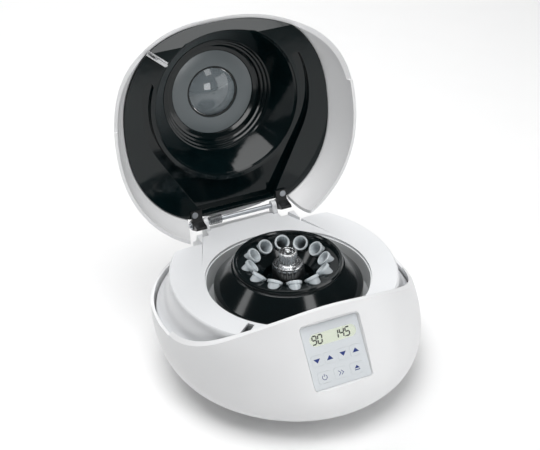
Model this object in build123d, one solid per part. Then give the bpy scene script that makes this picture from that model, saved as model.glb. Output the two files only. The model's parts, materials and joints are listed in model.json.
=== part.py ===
from build123d import *
import math
import os

os.makedirs("parts", exist_ok=True)

# A personal microcentrifuge for twelve 1.5 ml tubes, in millimetres.
# It is drawn with the rotor axis as X = Y = 0, the table at Z = 0 and the front at -Y.
# The lid is drawn closed and then turned open about its hinge. At the very end every
# piece is moved so that the middle of the whole outline, lid open, is the origin.

# Overall sizes
BODY_WIDTH = 226.0
FRONT_REACH = 116.0
REAR_REACH = 123.0
BODY_HEIGHT = 130.0
FLOOR_Z = 5.0
WAIST_Z = 45.0
DECK_Z = 83.0
WALL = 2.6
SEAM = 0.3
LID_GAP = 1.2

# Parting edge between base and lid: an arch at the front, a low rim behind
ARCH_TOP = 98.0
ARCH_RADIUS = 177.0
SIDE_RIM_Z = 59.0
MID_RIM_Z = 56.2
REAR_RIM_Z = 55.0
RIM_SPLIT_Y = -4.0

# Hinge and opening of the lid
HINGE_Y = 105.6
HINGE_Z = 84.4
LID_OPEN = 99.3
SHAFT_RADIUS = 2.0
SHAFT_FIT = 0.04
ARM_INNER_X = 36.0
ARM_WIDTH = 10.0
KNUCKLE_RADIUS = 4.6
CLAW_REACH = 13.4
CLAW_CLEAR = 1.2
LUG_WIDTH = 4.2
LUG_RADIUS = 4.3
REAR_WALL_Y = 102.0

# Top housing
DECK_HALF_WIDTH = 96.2
DECK_FRONT = -91.0
DECK_REAR = 112.0
DECK_THICK = 2.5
COVE_Z = 53.0
COVE_SKIRT = 3.0
CHAMBER_RADIUS = 70.0
WEDGE_START_Y = 43.0
WEDGE_START_X = 61.0
WEDGE_END_X = 29.0
WEDGE_DROP = 4.5

# Rotor chamber, rotor and tubes
BOWL_RADIUS = 69.0
BOWL_WALL = 1.5
BOWL_FLOOR_Z = 50.5
ROTOR_RADIUS = 63.0
ROTOR_BOTTOM_Z = 62.0
ROTOR_TOP_Z = 98.8
RIM_RADIUS = 46.2
LEDGE_Z = 95.5
LEDGE_RADIUS = 33.5
HUB_TOP_Z = 84.0
TUBE_COUNT = 12
TUBE_ANGLE = 45.0
TUBE_TIP_RADIUS = 56.0
TUBE_TIP_Z = 70.8
TUBE_LENGTH = 39.6
TUBE_RADIUS = 5.4
TUBE_RIM_RADIUS = 6.5
TUBE_RIM_HEIGHT = 2.6
TUBE_WALL = 0.8
TUBE_TAPER = 16.5
TUBE_TIP = 2.0
TUBE_FIT = 0.25
NUT_RADIUS = 13.5
NUT_DISC_TOP_Z = 96.5
NUT_BOSS_RADIUS = 7.6
NUT_TOP_Z = 107.6
NUT_GROOVES = 36

# Drive
SHAFT_R = 3.0
BEARING_FIT = 0.05
BEARING_OUTER = 8.0
BEARING_HEIGHT = 5.0
CAN_RADIUS = 31.0
CAN_BOTTOM_Z = 10.0
MOUNT_Z = 42.0
MOUNT_THICK = 3.0
MOUNT_RADIUS = 48.0
POST_CIRCLE = 40.0
POST_RADIUS = 5.0
DAMPER_RADIUS = 7.0
DAMPER_HEIGHT = 12.0
CONE_FIT = 0.06

# Base plate, feet and screws
PLATE_THICK = 1.8
PLATE_HALF_WIDTH = 72.5
PLATE_HALF_DEPTH = 77.5
FLOOR_OPENING = 8.5
FOOT_X = 44.0
FOOT_Y = 46.0
FOOT_RADIUS = 8.0
SCREW_RADIUS = 1.5
SCREW_HEAD = 2.8
SCREW_FIT = 0.05

# Key panel, in its own frame: across, up the slope, outward
PANEL_LOW_Z = 44.9
PANEL_LOW_Y = -105.0
PANEL_HIGH_Z = 86.5
PANEL_HIGH_Y = -75.4
FILM_WIDTH = 50.0
FILM_THICK = 0.5
FILM_CORNER = 2.5
FILM_MARGIN = 0.3
BED_BORDER = 3.0
BED_THICK = 2.2
POCKET_TAPER = 22.0
LCD_WIDTH = 41.0
LCD_HEIGHT = 10.0
LCD_ACROSS = 1.0
LCD_UP = 13.4
ARROW_KEY = (9.0, 8.4)
WORD_KEY = (11.0, 8.6)
ARROW_UP = -2.6
WORD_UP = -16.6
ARROW_ACROSS = (-17.4, -6.4, 5.4, 16.4)
WORD_ACROSS = (-14.6, -0.3, 14.0)
KEY_FIT = 0.25
KEY_TRAVEL = 0.4

# Latch, in its own frame: outward from the rotor axis, along the bolt, up
LATCH_ANGLE = 221.5
LATCH_RADIUS = 80.0
SLOT_LENGTH = 14.0
SLOT_WIDTH = 6.0
TONGUE_LENGTH = 10.5
TONGUE_THICK = 2.0
TONGUE_TIP_Z = 68.0
STRIP_INNER = -11.6
STRIP_OUTER = 8.7
STRIP_WIDTH = 4.6
BOLT_WIDTH = 4.8
BOLT_HEIGHT = 3.8
BOLT_Z = 72.2
BOLT_TRAVEL = 6.0
BOLT_FIT = 0.3

# Lid liner and window
LINER_GAP = 1.0
LINER_WALL = 2.0
LINER_SIDE_GAP = 1.0
CREASE_Y = -57.0
MOUTH_RADIUS = 66.5
LIP_RADIUS = 70.0
GROOVE_RADIUS = 78.0
GROOVE_END_Y = -28.0
RECESS_END_X = 34.0
RECESS_END_Y = 97.0
RECESS_START = 2.6
RECESS_SLOPE = 0.05
WINDOW_RADIUS = 21.5
WINDOW_FIT = 0.4
RING_FACE_Z = 121.5

# Mains inlet and switch at the back
REAR_PANEL_Y = 107.5
REAR_PANEL_Z = 31.0
REAR_PANEL_WIDTH = 72.0
REAR_PANEL_HEIGHT = 30.0
INLET_X = 14.0
SWITCH_X = -21.0
ROCKER_RADIUS = 8.6
ROCKER_TILT = 8.0


def mix(low, high, share):
    return low + (high - low) * share


# Body outline from floor to crown: height, half width, front reach and rear reach as
# shares of the overall sizes, and how square the oval is (2 is an ellipse)
OUTLINE = [
    (FLOOR_Z, 0.655, 0.690, 0.650, 2.0),
    (mix(FLOOR_Z, WAIST_Z, 0.225), 0.830, 0.880, 0.820, 2.0),
    (mix(FLOOR_Z, WAIST_Z, 0.525), 0.969, 1.000, 0.943, 2.0),
    (WAIST_Z, 1.000, 0.937, 1.000, 2.1),
    (mix(WAIST_Z, DECK_Z, 0.32), 0.987, 0.866, 0.996, 2.2),
    (mix(WAIST_Z, DECK_Z, 0.66), 0.947, 0.793, 0.967, 2.3),
    (DECK_Z, 0.885, 0.716, 0.915, 2.3),
    (mix(DECK_Z, BODY_HEIGHT, 0.32), 0.796, 0.629, 0.837, 2.3),
    (mix(DECK_Z, BODY_HEIGHT, 0.57), 0.699, 0.550, 0.724, 2.3),
    (mix(DECK_Z, BODY_HEIGHT, 0.745), 0.590, 0.490, 0.610, 2.2),
    (mix(DECK_Z, BODY_HEIGHT, 0.87), 0.460, 0.420, 0.490, 2.1),
    (mix(DECK_Z, BODY_HEIGHT, 0.957), 0.310, 0.300, 0.340, 2.0),
    (mix(DECK_Z, BODY_HEIGHT, 0.996), 0.100, 0.080, 0.150, 2.0),
]
BODY_ROWS = [
    (z, wide * BODY_WIDTH / 2, -front * FRONT_REACH, rear * REAR_REACH, square)
    for z, wide, front, rear, square in OUTLINE
]


def oval(z, half_width, front, rear, square, limit=None, count=16):
    """A closed smooth oval at one height, kept inside the body where a limit is given."""
    middle = (front + rear) / 2
    reach = (rear - front) / 2
    points = []
    for k in range(count):
        turn = 2 * math.pi * k / count + math.pi / 2
        across = math.cos(turn)
        along = math.sin(turn)
        size = (abs(across) ** square + abs(along) ** square) ** (-1 / square)
        x, y = half_width * size * across, middle + reach * size * along
        if limit is not None and y < 0:
            y = max(y, front_at(x, z, limit))
        points.append((x, y, z))
    return Wire([Spline(*points, periodic=True)])


def inset_rows(rows, inset):
    """The rows moved inwards, square to the side profile."""
    moved = []
    for k, (z, half_width, front, rear, square) in enumerate(rows):
        below = rows[max(k - 1, 0)]
        above = rows[min(k + 1, len(rows) - 1)]
        run = above[1] - below[1]
        rise = above[0] - below[0]
        size = math.hypot(run, rise)
        out = inset * rise / size
        up = -inset * run / size
        moved.append((z - up, half_width - out, front + out, rear - out, square))
    return moved


def egg(inset=0.0):
    """The closed body, moved inwards by an inset."""
    return Solid.make_loft([oval(*row) for row in inset_rows(BODY_ROWS, inset)])


def body_at(z):
    """Half width, front, rear and squareness of the body at one height."""
    for low, high in zip(BODY_ROWS, BODY_ROWS[1:]):
        if low[0] <= z <= high[0]:
            share = (z - low[0]) / (high[0] - low[0])
            return [mix(a, b, share) for a, b in zip(low[1:], high[1:])]
    return list(BODY_ROWS[-1][1:])


def half_depth_at(x, z, inset):
    """Middle and half depth of the body at one place across, inset from the outside."""
    half_width, front, rear, square = body_at(z)
    reach = (rear - front) / 2 - inset
    share = min(abs(x) / (half_width - inset), 1.0)
    return (front + rear) / 2, reach * (1 - share**square) ** (1 / square)


def rear_at(x, z, inset):
    """Where the rear wall stands at one place across, inset from the outside."""
    middle, reach = half_depth_at(x, z, inset)
    return middle + reach


def front_at(x, z, inset):
    """Where the front wall stands at one place across, inset from the outside."""
    middle, reach = half_depth_at(x, z, inset)
    return middle - reach


def block(x0, x1, y0, y1, z0, z1):
    """A box between two corners."""
    middle = Pos((x0 + x1) / 2, (y0 + y1) / 2, (z0 + z1) / 2)
    return middle * Box(x1 - x0, y1 - y0, z1 - z0)


def rod(x, y, z0, z1, radius):
    """An upright cylinder."""
    return Pos(x, y, (z0 + z1) / 2) * Cylinder(radius, z1 - z0)


def turned(points):
    """A solid of revolution about the rotor axis, from radius and height pairs."""
    outline = Polyline(*[(r, 0, z) for r, z in points], close=True)
    return revolve(make_face(outline), Axis.Z)


def side_plate(points, x0, x1):
    """A side view outline (Y and Z) drawn out across X."""
    outline = make_face(Polyline(*[(x0, y, z) for y, z in points], close=True))
    return extrude(outline, x1 - x0, dir=(1, 0, 0))


def cross_rod(x0, x1, y, z, radius):
    """A cylinder that lies along X."""
    return Pos((x0 + x1) / 2, y, z) * Rot(0, 90, 0) * Cylinder(radius, abs(x1 - x0))


def both_sides(shape):
    """The shape and its mirror image across the middle."""
    return [shape, mirror(shape, Plane.YZ)]


def group(shapes):
    return Compound(children=[s for shape in shapes for s in shape.solids()])


FAR = 200.0


def above_edge(lift):
    """Everything above the parting edge, raised by a lift."""
    rim = SIDE_RIM_Z + lift
    tall = block(-FAR, FAR, -FAR, RIM_SPLIT_Y, rim, FAR)
    arch = Pos(0, 0, ARCH_TOP - ARCH_RADIUS) * Rot(90, 0, 0)
    front = tall - arch * Cylinder(ARCH_RADIUS + lift, 3 * FAR)
    start = (0, RIM_SPLIT_Y, rim)
    middle = (0, mix(RIM_SPLIT_Y, REAR_REACH, 0.45), MID_RIM_Z + lift)
    end = (0, REAR_REACH + 10, REAR_RIM_Z + lift)
    low_edge = ThreePointArc(start, middle, end)
    back = Polyline(end, (0, REAR_REACH + 10, FAR), (0, RIM_SPLIT_Y, FAR), start)
    rear_face = make_face(Wire([low_edge, *back.edges()]))
    rear = Pos(-FAR, 0, 0) * extrude(rear_face, 2 * FAR, dir=(1, 0, 0))
    return front + rear


# Key panel frame
panel_rise = PANEL_HIGH_Z - PANEL_LOW_Z
panel_run = PANEL_HIGH_Y - PANEL_LOW_Y
FILM_HEIGHT = math.hypot(panel_rise, panel_run)
PANEL_UP = Vector(0, panel_run / FILM_HEIGHT, panel_rise / FILM_HEIGHT)
PANEL_OUT = Vector(0, -panel_rise / FILM_HEIGHT, panel_run / FILM_HEIGHT)
panel_middle = ((PANEL_LOW_Y + PANEL_HIGH_Y) / 2, (PANEL_LOW_Z + PANEL_HIGH_Z) / 2)
PANEL = Plane(origin=(0, *panel_middle), x_dir=(1, 0, 0), z_dir=PANEL_OUT)
BED_BACK = -FILM_THICK - BED_THICK
BOARD_FRONT = BED_BACK - 4.8
BOARD_THICK = 1.6


def panel_block(across, up, width, height, low, high, corner=0.0):
    """A slab in the panel's frame, between two depths, with rounded corners."""
    outline = Rectangle(width, height)
    if corner > 0:
        outline = RectangleRounded(width, height, corner)
    face = PANEL * Pos(across, up, low) * outline
    return extrude(face, high - low, dir=PANEL_OUT)


KEYS = [
    ("key_time_down", ARROW_ACROSS[0], ARROW_UP, ARROW_KEY),
    ("key_time_up", ARROW_ACROSS[1], ARROW_UP, ARROW_KEY),
    ("key_speed_down", ARROW_ACROSS[2], ARROW_UP, ARROW_KEY),
    ("key_speed_up", ARROW_ACROSS[3], ARROW_UP, ARROW_KEY),
    ("key_start_stop", WORD_ACROSS[0], WORD_UP, WORD_KEY),
    ("key_short_run", WORD_ACROSS[1], WORD_UP, WORD_KEY),
    ("key_open", WORD_ACROSS[2], WORD_UP, WORD_KEY),
]
KEY_CORNER = 1.4
KEY_FLANGE = 0.7
KEY_PROUD = 0.1
STEM_RADIUS = 1.5
SWITCH_SIZE = 5.0


def key_holes(low, high):
    """The seven key openings, a little larger than the keys."""
    return [
        panel_block(a, u, w + 2 * KEY_FIT, h + 2 * KEY_FIT, low, high, KEY_CORNER + KEY_FIT)
        for name, a, u, (w, h) in KEYS
    ]


def lcd_outline(grow, low, high):
    """The display opening: a slot with round ends."""
    height = LCD_HEIGHT + 2 * grow
    outline = SlotOverall(LCD_WIDTH + 2 * grow, height)
    face = PANEL * Pos(LCD_ACROSS, LCD_UP, low) * outline
    return extrude(face, high - low, dir=PANEL_OUT)


# Latch frame of reference
LATCH = Rot(0, 0, LATCH_ANGLE) * Pos(LATCH_RADIUS, 0, 0)
parts = {}

# Fixings that several pieces share
PLATE_SCREWS = [(sx * 60.5, y) for sx in (-1, 1) for y in (-35.0, 34.0)]
HOUSING_SCREWS = [(sx * x, y) for sx in (-1, 1) for x, y in ((84.0, -10.0), (72.0, 58.0))]
HOUSING_SEAT_Z = 36.0
BOSS_RADIUS = 4.5
BOSS_TOP_Z = 17.0
ARM_SCREW_Y = 95.6
ARM_X = ARM_INNER_X + 6.6
ARM_BOSS_RADIUS = 3.0


def screw(x, y, head_z, tip_z, radius=SCREW_RADIUS, head=SCREW_HEAD, thick=1.6):
    """A screw driven upwards: the head's underside faces up at head_z."""
    return rod(x, y, head_z - thick, head_z, head) + rod(x, y, head_z, tip_z, radius)


def base_shell():
    """Outer wall with floor ledge, bib, panel bed, rear panel and screw bosses."""
    slab = panel_block(
        0, 0, FILM_WIDTH + 2 * BED_BORDER, FILM_HEIGHT + 2 * BED_BORDER, BED_BACK, 24.0
    )
    half = REAR_PANEL_WIDTH / 2 + WALL
    high = REAR_PANEL_HEIGHT / 2 + WALL
    rear = block(
        -half, half, REAR_PANEL_Y - WALL, FAR, REAR_PANEL_Z - high, REAR_PANEL_Z + high
    )
    posts = [rod(x, y, 0, BOSS_TOP_Z, BOSS_RADIUS) for x, y in PLATE_SCREWS]
    columns = [rod(x, y, 0, HOUSING_SEAT_Z, BOSS_RADIUS) for x, y in HOUSING_SCREWS]
    cavity = egg(WALL) - [slab, rear, *posts, *columns]
    shell = egg() - cavity - above_edge(0)
    floor = (PLATE_HALF_WIDTH - FLOOR_OPENING, PLATE_HALF_DEPTH - FLOOR_OPENING)
    opening = extrude(Ellipse(*floor), FLOOR_Z + WALL + 1)
    pocket = panel_block(
        0, 0, FILM_WIDTH + 2 * FILM_MARGIN, FILM_HEIGHT + 2 * FILM_MARGIN,
        -FILM_THICK, 0.2, FILM_CORNER,
    )
    mouth_face = PANEL * Pos(0, 0, 0.1) * RectangleRounded(
        FILM_WIDTH + 2 * FILM_MARGIN, FILM_HEIGHT + 2 * FILM_MARGIN, FILM_CORNER
    )
    mouth = extrude(mouth_face, 12.0, taper=-POCKET_TAPER)
    half = REAR_PANEL_WIDTH / 2
    high = REAR_PANEL_HEIGHT / 2
    cuts = [
        opening,
        pocket,
        mouth,
        lcd_outline(SEAM, BED_BACK - 1, 1.0),
        panel_block(LCD_ACROSS, LCD_UP, LCD_WIDTH + 4.0, LCD_HEIGHT + 3.6, BED_BACK - 1, LCD_SEAT),
        block(-half, half, REAR_PANEL_Y, FAR, REAR_PANEL_Z - high, REAR_PANEL_Z + high),
        rear_hole(INLET_X, INLET_BODY),
        rear_hole(SWITCH_X, SWITCH_BODY),
    ]
    cuts += key_holes(BED_BACK - 1, 1.0)
    for x, y in PLATE_SCREWS:
        cuts.append(rod(x, y, 0, BOSS_TOP_Z + 1, SCREW_RADIUS + SCREW_FIT))
    for x, y in HOUSING_SCREWS:
        cuts.append(rod(x, y, 0, HOUSING_HEAD_Z, SCREW_HEAD + 0.4))
        cuts.append(rod(x, y, 0, HOUSING_SEAT_Z + 1, SCREW_RADIUS + SCREW_FIT))
    for x, y in FEET:
        cuts.append(rod(x, y, 0, FLOOR_Z + WALL + 1, FOOT_STEM + SEAM))
    for cut in cuts:
        shell = shell - cut
    return shell


LCD_SEAT = -FILM_THICK - 0.7
HOUSING_HEAD_Z = 22.0
INLET_BODY = (27.0, 19.6)
SWITCH_BODY = (13.0, 19.2)
REAR_FIT = 0.2


def rear_hole(x, size):
    """The hole that an inlet or a switch body passes through."""
    wide = size[0] / 2 + REAR_FIT
    high = size[1] / 2 + REAR_FIT
    return block(
        x - wide, x + wide, REAR_PANEL_Y - 2 * WALL, REAR_PANEL_Y + 1,
        REAR_PANEL_Z - high, REAR_PANEL_Z + high,
    )


# Top housing outline: the deck edge, and the cove that sweeps out to the base rim
HOUSING_ROWS = [
    (COVE_Z - COVE_SKIRT, 109.0, -101.0, 119.0, 2.1),
    (COVE_Z, 108.4, -100.6, 118.4, 2.1),
    (COVE_Z + 4.0, 104.8, -99.0, 117.0, 2.1),
    (COVE_Z + 11.0, 100.4, -96.0, 115.0, 2.05),
    (COVE_Z + 19.0, 97.8, -93.0, 113.2, 2.0),
    (DECK_Z - 3.0, DECK_HALF_WIDTH, DECK_FRONT - 0.6, DECK_REAR, 2.0),
    (DECK_Z - 0.8, DECK_HALF_WIDTH - 0.3, DECK_FRONT - 0.3, DECK_REAR - 0.3, 2.0),
    (DECK_Z, DECK_HALF_WIDTH - 1.2, DECK_FRONT + 0.6, DECK_REAR - 1.2, 2.0),
]
HOUSING_GAP = 0.8


def housing_core():
    """The inside of the top housing: narrower by the wall and lower by the deck."""
    rows = []
    for z, half_width, front, rear, square in HOUSING_ROWS[:-2]:
        rows.append((z, half_width - WALL, front + WALL, rear - WALL, square))
    rows[0] = (rows[0][0] - 1.0, *rows[0][1:])
    rows[-1] = (DECK_Z - DECK_THICK, *rows[-1][1:])
    return Solid.make_loft([oval(*row, 2 * WALL + HOUSING_GAP) for row in rows])


def lobe_sweep(grow):
    """The space that the lid's rear lobes sweep through as the lid turns."""
    stations = (NOTCH_OUTER_X, 54.0, 60.0, 66.0, 72.0, 78.0, 84.0, 92.0)
    low = REAR_RIM_Z + LID_GAP
    outline = [(stations[0] - grow, 0.0)]
    for k, x in enumerate(stations):
        inner = rear_at(x, low, WALL)
        reach = math.hypot(HINGE_Y - inner, HINGE_Z - low)
        place = x - grow if k == 0 else x
        outline.append((place, reach + SWEEP_CLEAR + grow))
    outline.append((stations[-1], 0.0))
    points = [(x, HINGE_Y, HINGE_Z + r) for x, r in outline]
    axis = Axis((0, HINGE_Y, HINGE_Z), (1, 0, 0))
    return both_sides(revolve(make_face(Polyline(*points, close=True)), axis))


SWEEP_CLEAR = 0.9
NOTCH_OUTER_X = ARM_INNER_X + ARM_WIDTH + 1.0
NOTCH_INNER_X = ARM_INNER_X - 0.8
NOTCH_RADIUS = CLAW_REACH + CLAW_CLEAR


def arm_notches(grow):
    """The slots that the hinge arms swing in."""
    start = NOTCH_INNER_X - grow
    end = NOTCH_OUTER_X + grow
    return both_sides(cross_rod(start, end, HINGE_Y, HINGE_Z, NOTCH_RADIUS + grow))


def wedge(drop, grow):
    """The space above the part of the deck that falls towards the hinge."""
    start = WEDGE_START_Y - grow
    plan = [
        (-WEDGE_START_X - grow, start),
        (WEDGE_START_X + grow, start),
        (WEDGE_END_X + grow, REAR_WALL_Y + 20),
        (-WEDGE_END_X - grow, REAR_WALL_Y + 20),
    ]
    column = extrude(make_face(Polyline(*plan, close=True)), 2 * FAR)
    slope = WEDGE_DROP / (REAR_WALL_Y - WEDGE_START_Y)
    low = DECK_Z - drop
    reach = REAR_WALL_Y + 20 - WEDGE_START_Y
    side = [
        (WEDGE_START_Y, low),
        (REAR_WALL_Y + 20, low - slope * reach),
        (REAR_WALL_Y + 20, FAR),
        (WEDGE_START_Y, FAR),
    ]
    return column & side_plate(side, -FAR, FAR)


def top_housing():
    """Deck, cove and rear wall in one moulding."""
    outer = Solid.make_loft([oval(*row, WALL + HOUSING_GAP) for row in HOUSING_ROWS])
    rear_half = NOTCH_OUTER_X
    outer = outer - block(-rear_half, rear_half, REAR_WALL_Y, FAR, COVE_Z, FAR)
    core = housing_core()
    core = core - block(
        -rear_half - WALL, rear_half + WALL, REAR_WALL_Y - WALL, FAR, COVE_Z - WALL, FAR
    )
    core = core - [
        wedge(DECK_THICK, DECK_THICK),
        *lobe_sweep(WALL),
        *arm_notches(WALL),
        *[rod(x, y, HOUSING_SEAT_Z, DECK_Z, BOSS_RADIUS - 0.5) for x, y in HOUSING_SCREWS],
    ]
    housing = outer - core
    housing = housing - [wedge(0.0, 0.0), *lobe_sweep(0.0), *arm_notches(0.0)]
    for piece in [rear_tail(), *hinge_lugs()]:
        housing = housing + piece
    board_room = panel_block(0, -6, 62.0, FILM_HEIGHT + 24, BOARD_FRONT - BOARD_THICK - 3, 40.0)
    cuts = [
        rod(0, 0, 0, FAR, CHAMBER_RADIUS),
        LATCH * block(-SLOT_LENGTH / 2, SLOT_LENGTH / 2, -SLOT_WIDTH / 2, SLOT_WIDTH / 2, 0, FAR),
        panel_block(
            0, 0, FILM_WIDTH + 2 * BED_BORDER + 2 * SEAM, FILM_HEIGHT + 2 * BED_BORDER + 4,
            BED_BACK - 1.4, 40.0,
        ),
        board_room & block(-FAR, FAR, -FAR, 0, 0, DECK_Z - DECK_THICK),
        cross_rod(-FAR, FAR, HINGE_Y, HINGE_Z, SHAFT_RADIUS + SHAFT_FIT),
    ]
    for x, y in HOUSING_SCREWS:
        cuts.append(rod(x, y, 0, HOUSING_TIP_Z + 1, SCREW_RADIUS + SCREW_FIT))
    for cut in cuts:
        housing = housing - cut
    return housing


TAIL_HALF_WIDTH = ARM_INNER_X - 0.8 - LUG_WIDTH
HOUSING_TIP_Z = HOUSING_SEAT_Z + 14.0


def rear_tail():
    """The sloping back of the housing between the hinge ears, hollow from below."""
    rim = REAR_RIM_Z + 1.0
    side = [
        (REAR_WALL_Y - WALL, COVE_Z),
        (115.0, COVE_Z),
        (115.0, rim),
        (118.0, rim),
        (117.0, 63.0),
        (113.4, 74.0),
        (REAR_WALL_Y, 78.4),
        (REAR_WALL_Y - WALL, 78.4),
    ]
    room = [
        (REAR_WALL_Y, COVE_Z - 1),
        (115.0 - WALL, COVE_Z - 1),
        (115.0 - WALL, rim + 2.0),
        (111.4, 71.6),
        (REAR_WALL_Y, 75.4),
    ]
    half = TAIL_HALF_WIDTH
    return side_plate(side, -half, half) - side_plate(room, WALL - half, half - WALL)


def hinge_lugs():
    """Two ears on the rear wall that carry the hinge shaft."""
    inner = TAIL_HALF_WIDTH
    side = [
        (REAR_WALL_Y - WALL, COVE_Z),
        (REAR_WALL_Y - WALL, HINGE_Z - 4.5),
        (HINGE_Y - LUG_RADIUS, HINGE_Z),
        (HINGE_Y + LUG_RADIUS, HINGE_Z),
        (HINGE_Y + 2.5, COVE_Z),
    ]
    ear = side_plate(side, inner, inner + LUG_WIDTH)
    ear = ear + cross_rod(inner, inner + LUG_WIDTH, HINGE_Y, HINGE_Z, LUG_RADIUS)
    return both_sides(ear)


def rotor_bowl():
    """The chamber pan that hangs under the deck."""
    top = DECK_Z - DECK_THICK
    wall = BOWL_RADIUS + BOWL_WALL
    floor = BOWL_FLOOR_Z
    bowl = turned([
        (BOWL_RADIUS, top),
        (BOWL_RADIUS + 3.4, top),
        (BOWL_RADIUS + 3.4, top - 3.4),
        (wall, top - 3.4),
        (wall, floor + 8.5),
        (wall - 8.5, floor),
        (SEAL_HOLE, floor),
        (SEAL_HOLE, floor + BOWL_WALL),
        (BOWL_RADIUS - 8.0, floor + BOWL_WALL),
        (BOWL_RADIUS, floor + BOWL_WALL + 8.0),
    ])
    return bowl - wedge(DECK_THICK, DECK_THICK)


SEAL_HOLE = 14.2
COLLAR_RADIUS = 11.5
COLLAR_TOP_Z = 55.5


def shaft_seal():
    """Rubber ring between the bowl floor and the motor's collar."""
    low = BOWL_FLOOR_Z - 0.8
    high = BOWL_FLOOR_Z + BOWL_WALL
    return turned([
        (COLLAR_RADIUS + SEAM, low),
        (SEAL_HOLE - 0.1, low),
        (SEAL_HOLE - 0.1, high),
        (SEAL_HOLE + 3.0, high),
        (SEAL_HOLE + 3.0, high + 1.2),
        (COLLAR_RADIUS + SEAM, high + 1.8),
    ])


def ring(inner, outer, z0, z1):
    return rod(0, 0, z0, z1, outer) - rod(0, 0, z0 - 1, z1 + 1, inner)


POST_PLACES = [
    (POST_CIRCLE * math.cos(math.radians(a)), POST_CIRCLE * math.sin(math.radians(a)))
    for a in (90, 210, 330)
]
UPPER_BEARING_Z = COLLAR_TOP_Z - BEARING_HEIGHT - 0.5
LOWER_BEARING_Z = CAN_BOTTOM_Z + 2.5
CAN_WALL = 2.0
MOUNT_SCREW_RADIUS = 2.0


def motor():
    """Motor pieces, from the can up to the drive cone."""
    top = MOUNT_Z + MOUNT_THICK
    can = rod(0, 0, CAN_BOTTOM_Z, MOUNT_Z, CAN_RADIUS)
    can = can - rod(0, 0, CAN_BOTTOM_Z + CAN_WALL, MOUNT_Z + 1, CAN_RADIUS - CAN_WALL)
    seat = BEARING_OUTER + 0.02
    can = can + ring(seat, seat + 2.5, CAN_BOTTOM_Z + CAN_WALL, LOWER_BEARING_Z + 4)
    plate = rod(0, 0, MOUNT_Z, top, MOUNT_RADIUS)
    plate = plate + rod(0, 0, top, COLLAR_TOP_Z, COLLAR_RADIUS)
    plate = plate - rod(0, 0, MOUNT_Z - 1, COLLAR_TOP_Z + 1, SHAFT_R + 1.5)
    plate = plate - rod(0, 0, UPPER_BEARING_Z, COLLAR_TOP_Z + 1, seat)
    for x, y in POST_PLACES:
        plate = plate - rod(x, y, MOUNT_Z - 1, top + 1, MOUNT_SCREW_RADIUS + 0.1)
    parts["motor_can"] = can
    parts["motor_mount_plate"] = plate
    parts["motor_stator"] = ring(
        17.0, CAN_RADIUS - CAN_WALL - 0.2, LOWER_BEARING_Z + 8, MOUNT_Z - 4
    )
    bore = SHAFT_R + BEARING_FIT
    parts["shaft_bearings"] = group([
        ring(bore, BEARING_OUTER, UPPER_BEARING_Z, UPPER_BEARING_Z + BEARING_HEIGHT),
        ring(bore, BEARING_OUTER, LOWER_BEARING_Z, LOWER_BEARING_Z + BEARING_HEIGHT),
    ])
    seat_z = MOUNT_Z - DAMPER_HEIGHT
    hole = MOUNT_SCREW_RADIUS + SCREW_FIT
    posts = []
    dampers = []
    screws = []
    for x, y in POST_PLACES:
        post = rod(x, y, FLOOR_Z, seat_z, POST_RADIUS)
        posts.append(post - rod(x, y, seat_z - 11, seat_z + 1, hole))
        damper = rod(x, y, seat_z, MOUNT_Z, DAMPER_RADIUS)
        damper = damper - Pos(x, y, (seat_z + MOUNT_Z) / 2) * Torus(DAMPER_RADIUS + 0.6, 2.0)
        dampers.append(damper - rod(x, y, seat_z - 1, MOUNT_Z + 1, hole + 0.1))
        bolt = rod(x, y, seat_z - 10, top, MOUNT_SCREW_RADIUS)
        screws.append(bolt + rod(x, y, top, top + 3.0, 3.5))
    parts["motor_posts"] = group(posts)
    parts["motor_dampers"] = group(dampers)
    parts["motor_screws"] = group(screws)
    parts["motor_shaft"] = rod(0, 0, LOWER_BEARING_Z - 0.2, NUT_TOP_Z - 5.0, SHAFT_R)
    parts["motor_magnet"] = ring(
        SHAFT_R + 0.03, 16.2, LOWER_BEARING_Z + 9, MOUNT_Z - 5
    )


def cone_radius(z):
    """Radius of the drive cone at one height."""
    share = (z - ROTOR_BOTTOM_Z) / (HUB_TOP_Z - ROTOR_BOTTOM_Z)
    return mix(8.4, 6.6, share)


def drive_cone():
    top = HUB_TOP_Z - 0.6
    flange = ROTOR_BOTTOM_Z
    bore = SHAFT_R + 0.03
    return turned([
        (bore, flange - 5.0),
        (8.4, flange - 5.0),
        (8.4, flange - 2.0),
        (11.0, flange - 2.0),
        (11.0, flange),
        (cone_radius(flange), flange),
        (cone_radius(top), top),
        (bore, top),
    ])


def tube_place(k):
    """Frame of one tube: tip at the origin, axis up and in towards the rotor axis."""
    turn = 360 / TUBE_COUNT * (k + 0.5)
    return Rot(0, 0, turn) * Pos(TUBE_TIP_RADIUS, 0, TUBE_TIP_Z) * Rot(0, -TUBE_ANGLE, 0)


def tube():
    top = TUBE_LENGTH
    inner = TUBE_RADIUS - TUBE_WALL
    return turned([
        (0, 0),
        (TUBE_TIP - 0.6, 0),
        (TUBE_TIP, 0.8),
        (TUBE_RADIUS, TUBE_TAPER),
        (TUBE_RADIUS, top - TUBE_RIM_HEIGHT),
        (TUBE_RIM_RADIUS - 0.3, top - TUBE_RIM_HEIGHT),
        (TUBE_RIM_RADIUS, top - TUBE_RIM_HEIGHT + 0.3),
        (TUBE_RIM_RADIUS, top - 0.3),
        (TUBE_RIM_RADIUS - 0.3, top),
        (inner + 0.3, top),
        (inner, top - 0.5),
        (inner, TUBE_TAPER),
        (TUBE_TIP - TUBE_WALL, 2.0),
        (0, 1.4),
    ])


def tube_hole():
    fit = TUBE_FIT
    return turned([
        (0, -fit),
        (TUBE_TIP + fit, -fit),
        (TUBE_TIP + fit, 0.8 - fit),
        (TUBE_RADIUS + fit, TUBE_TAPER),
        (TUBE_RADIUS + fit, TUBE_LENGTH + 8),
        (0, TUBE_LENGTH + 8),
    ])


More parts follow.
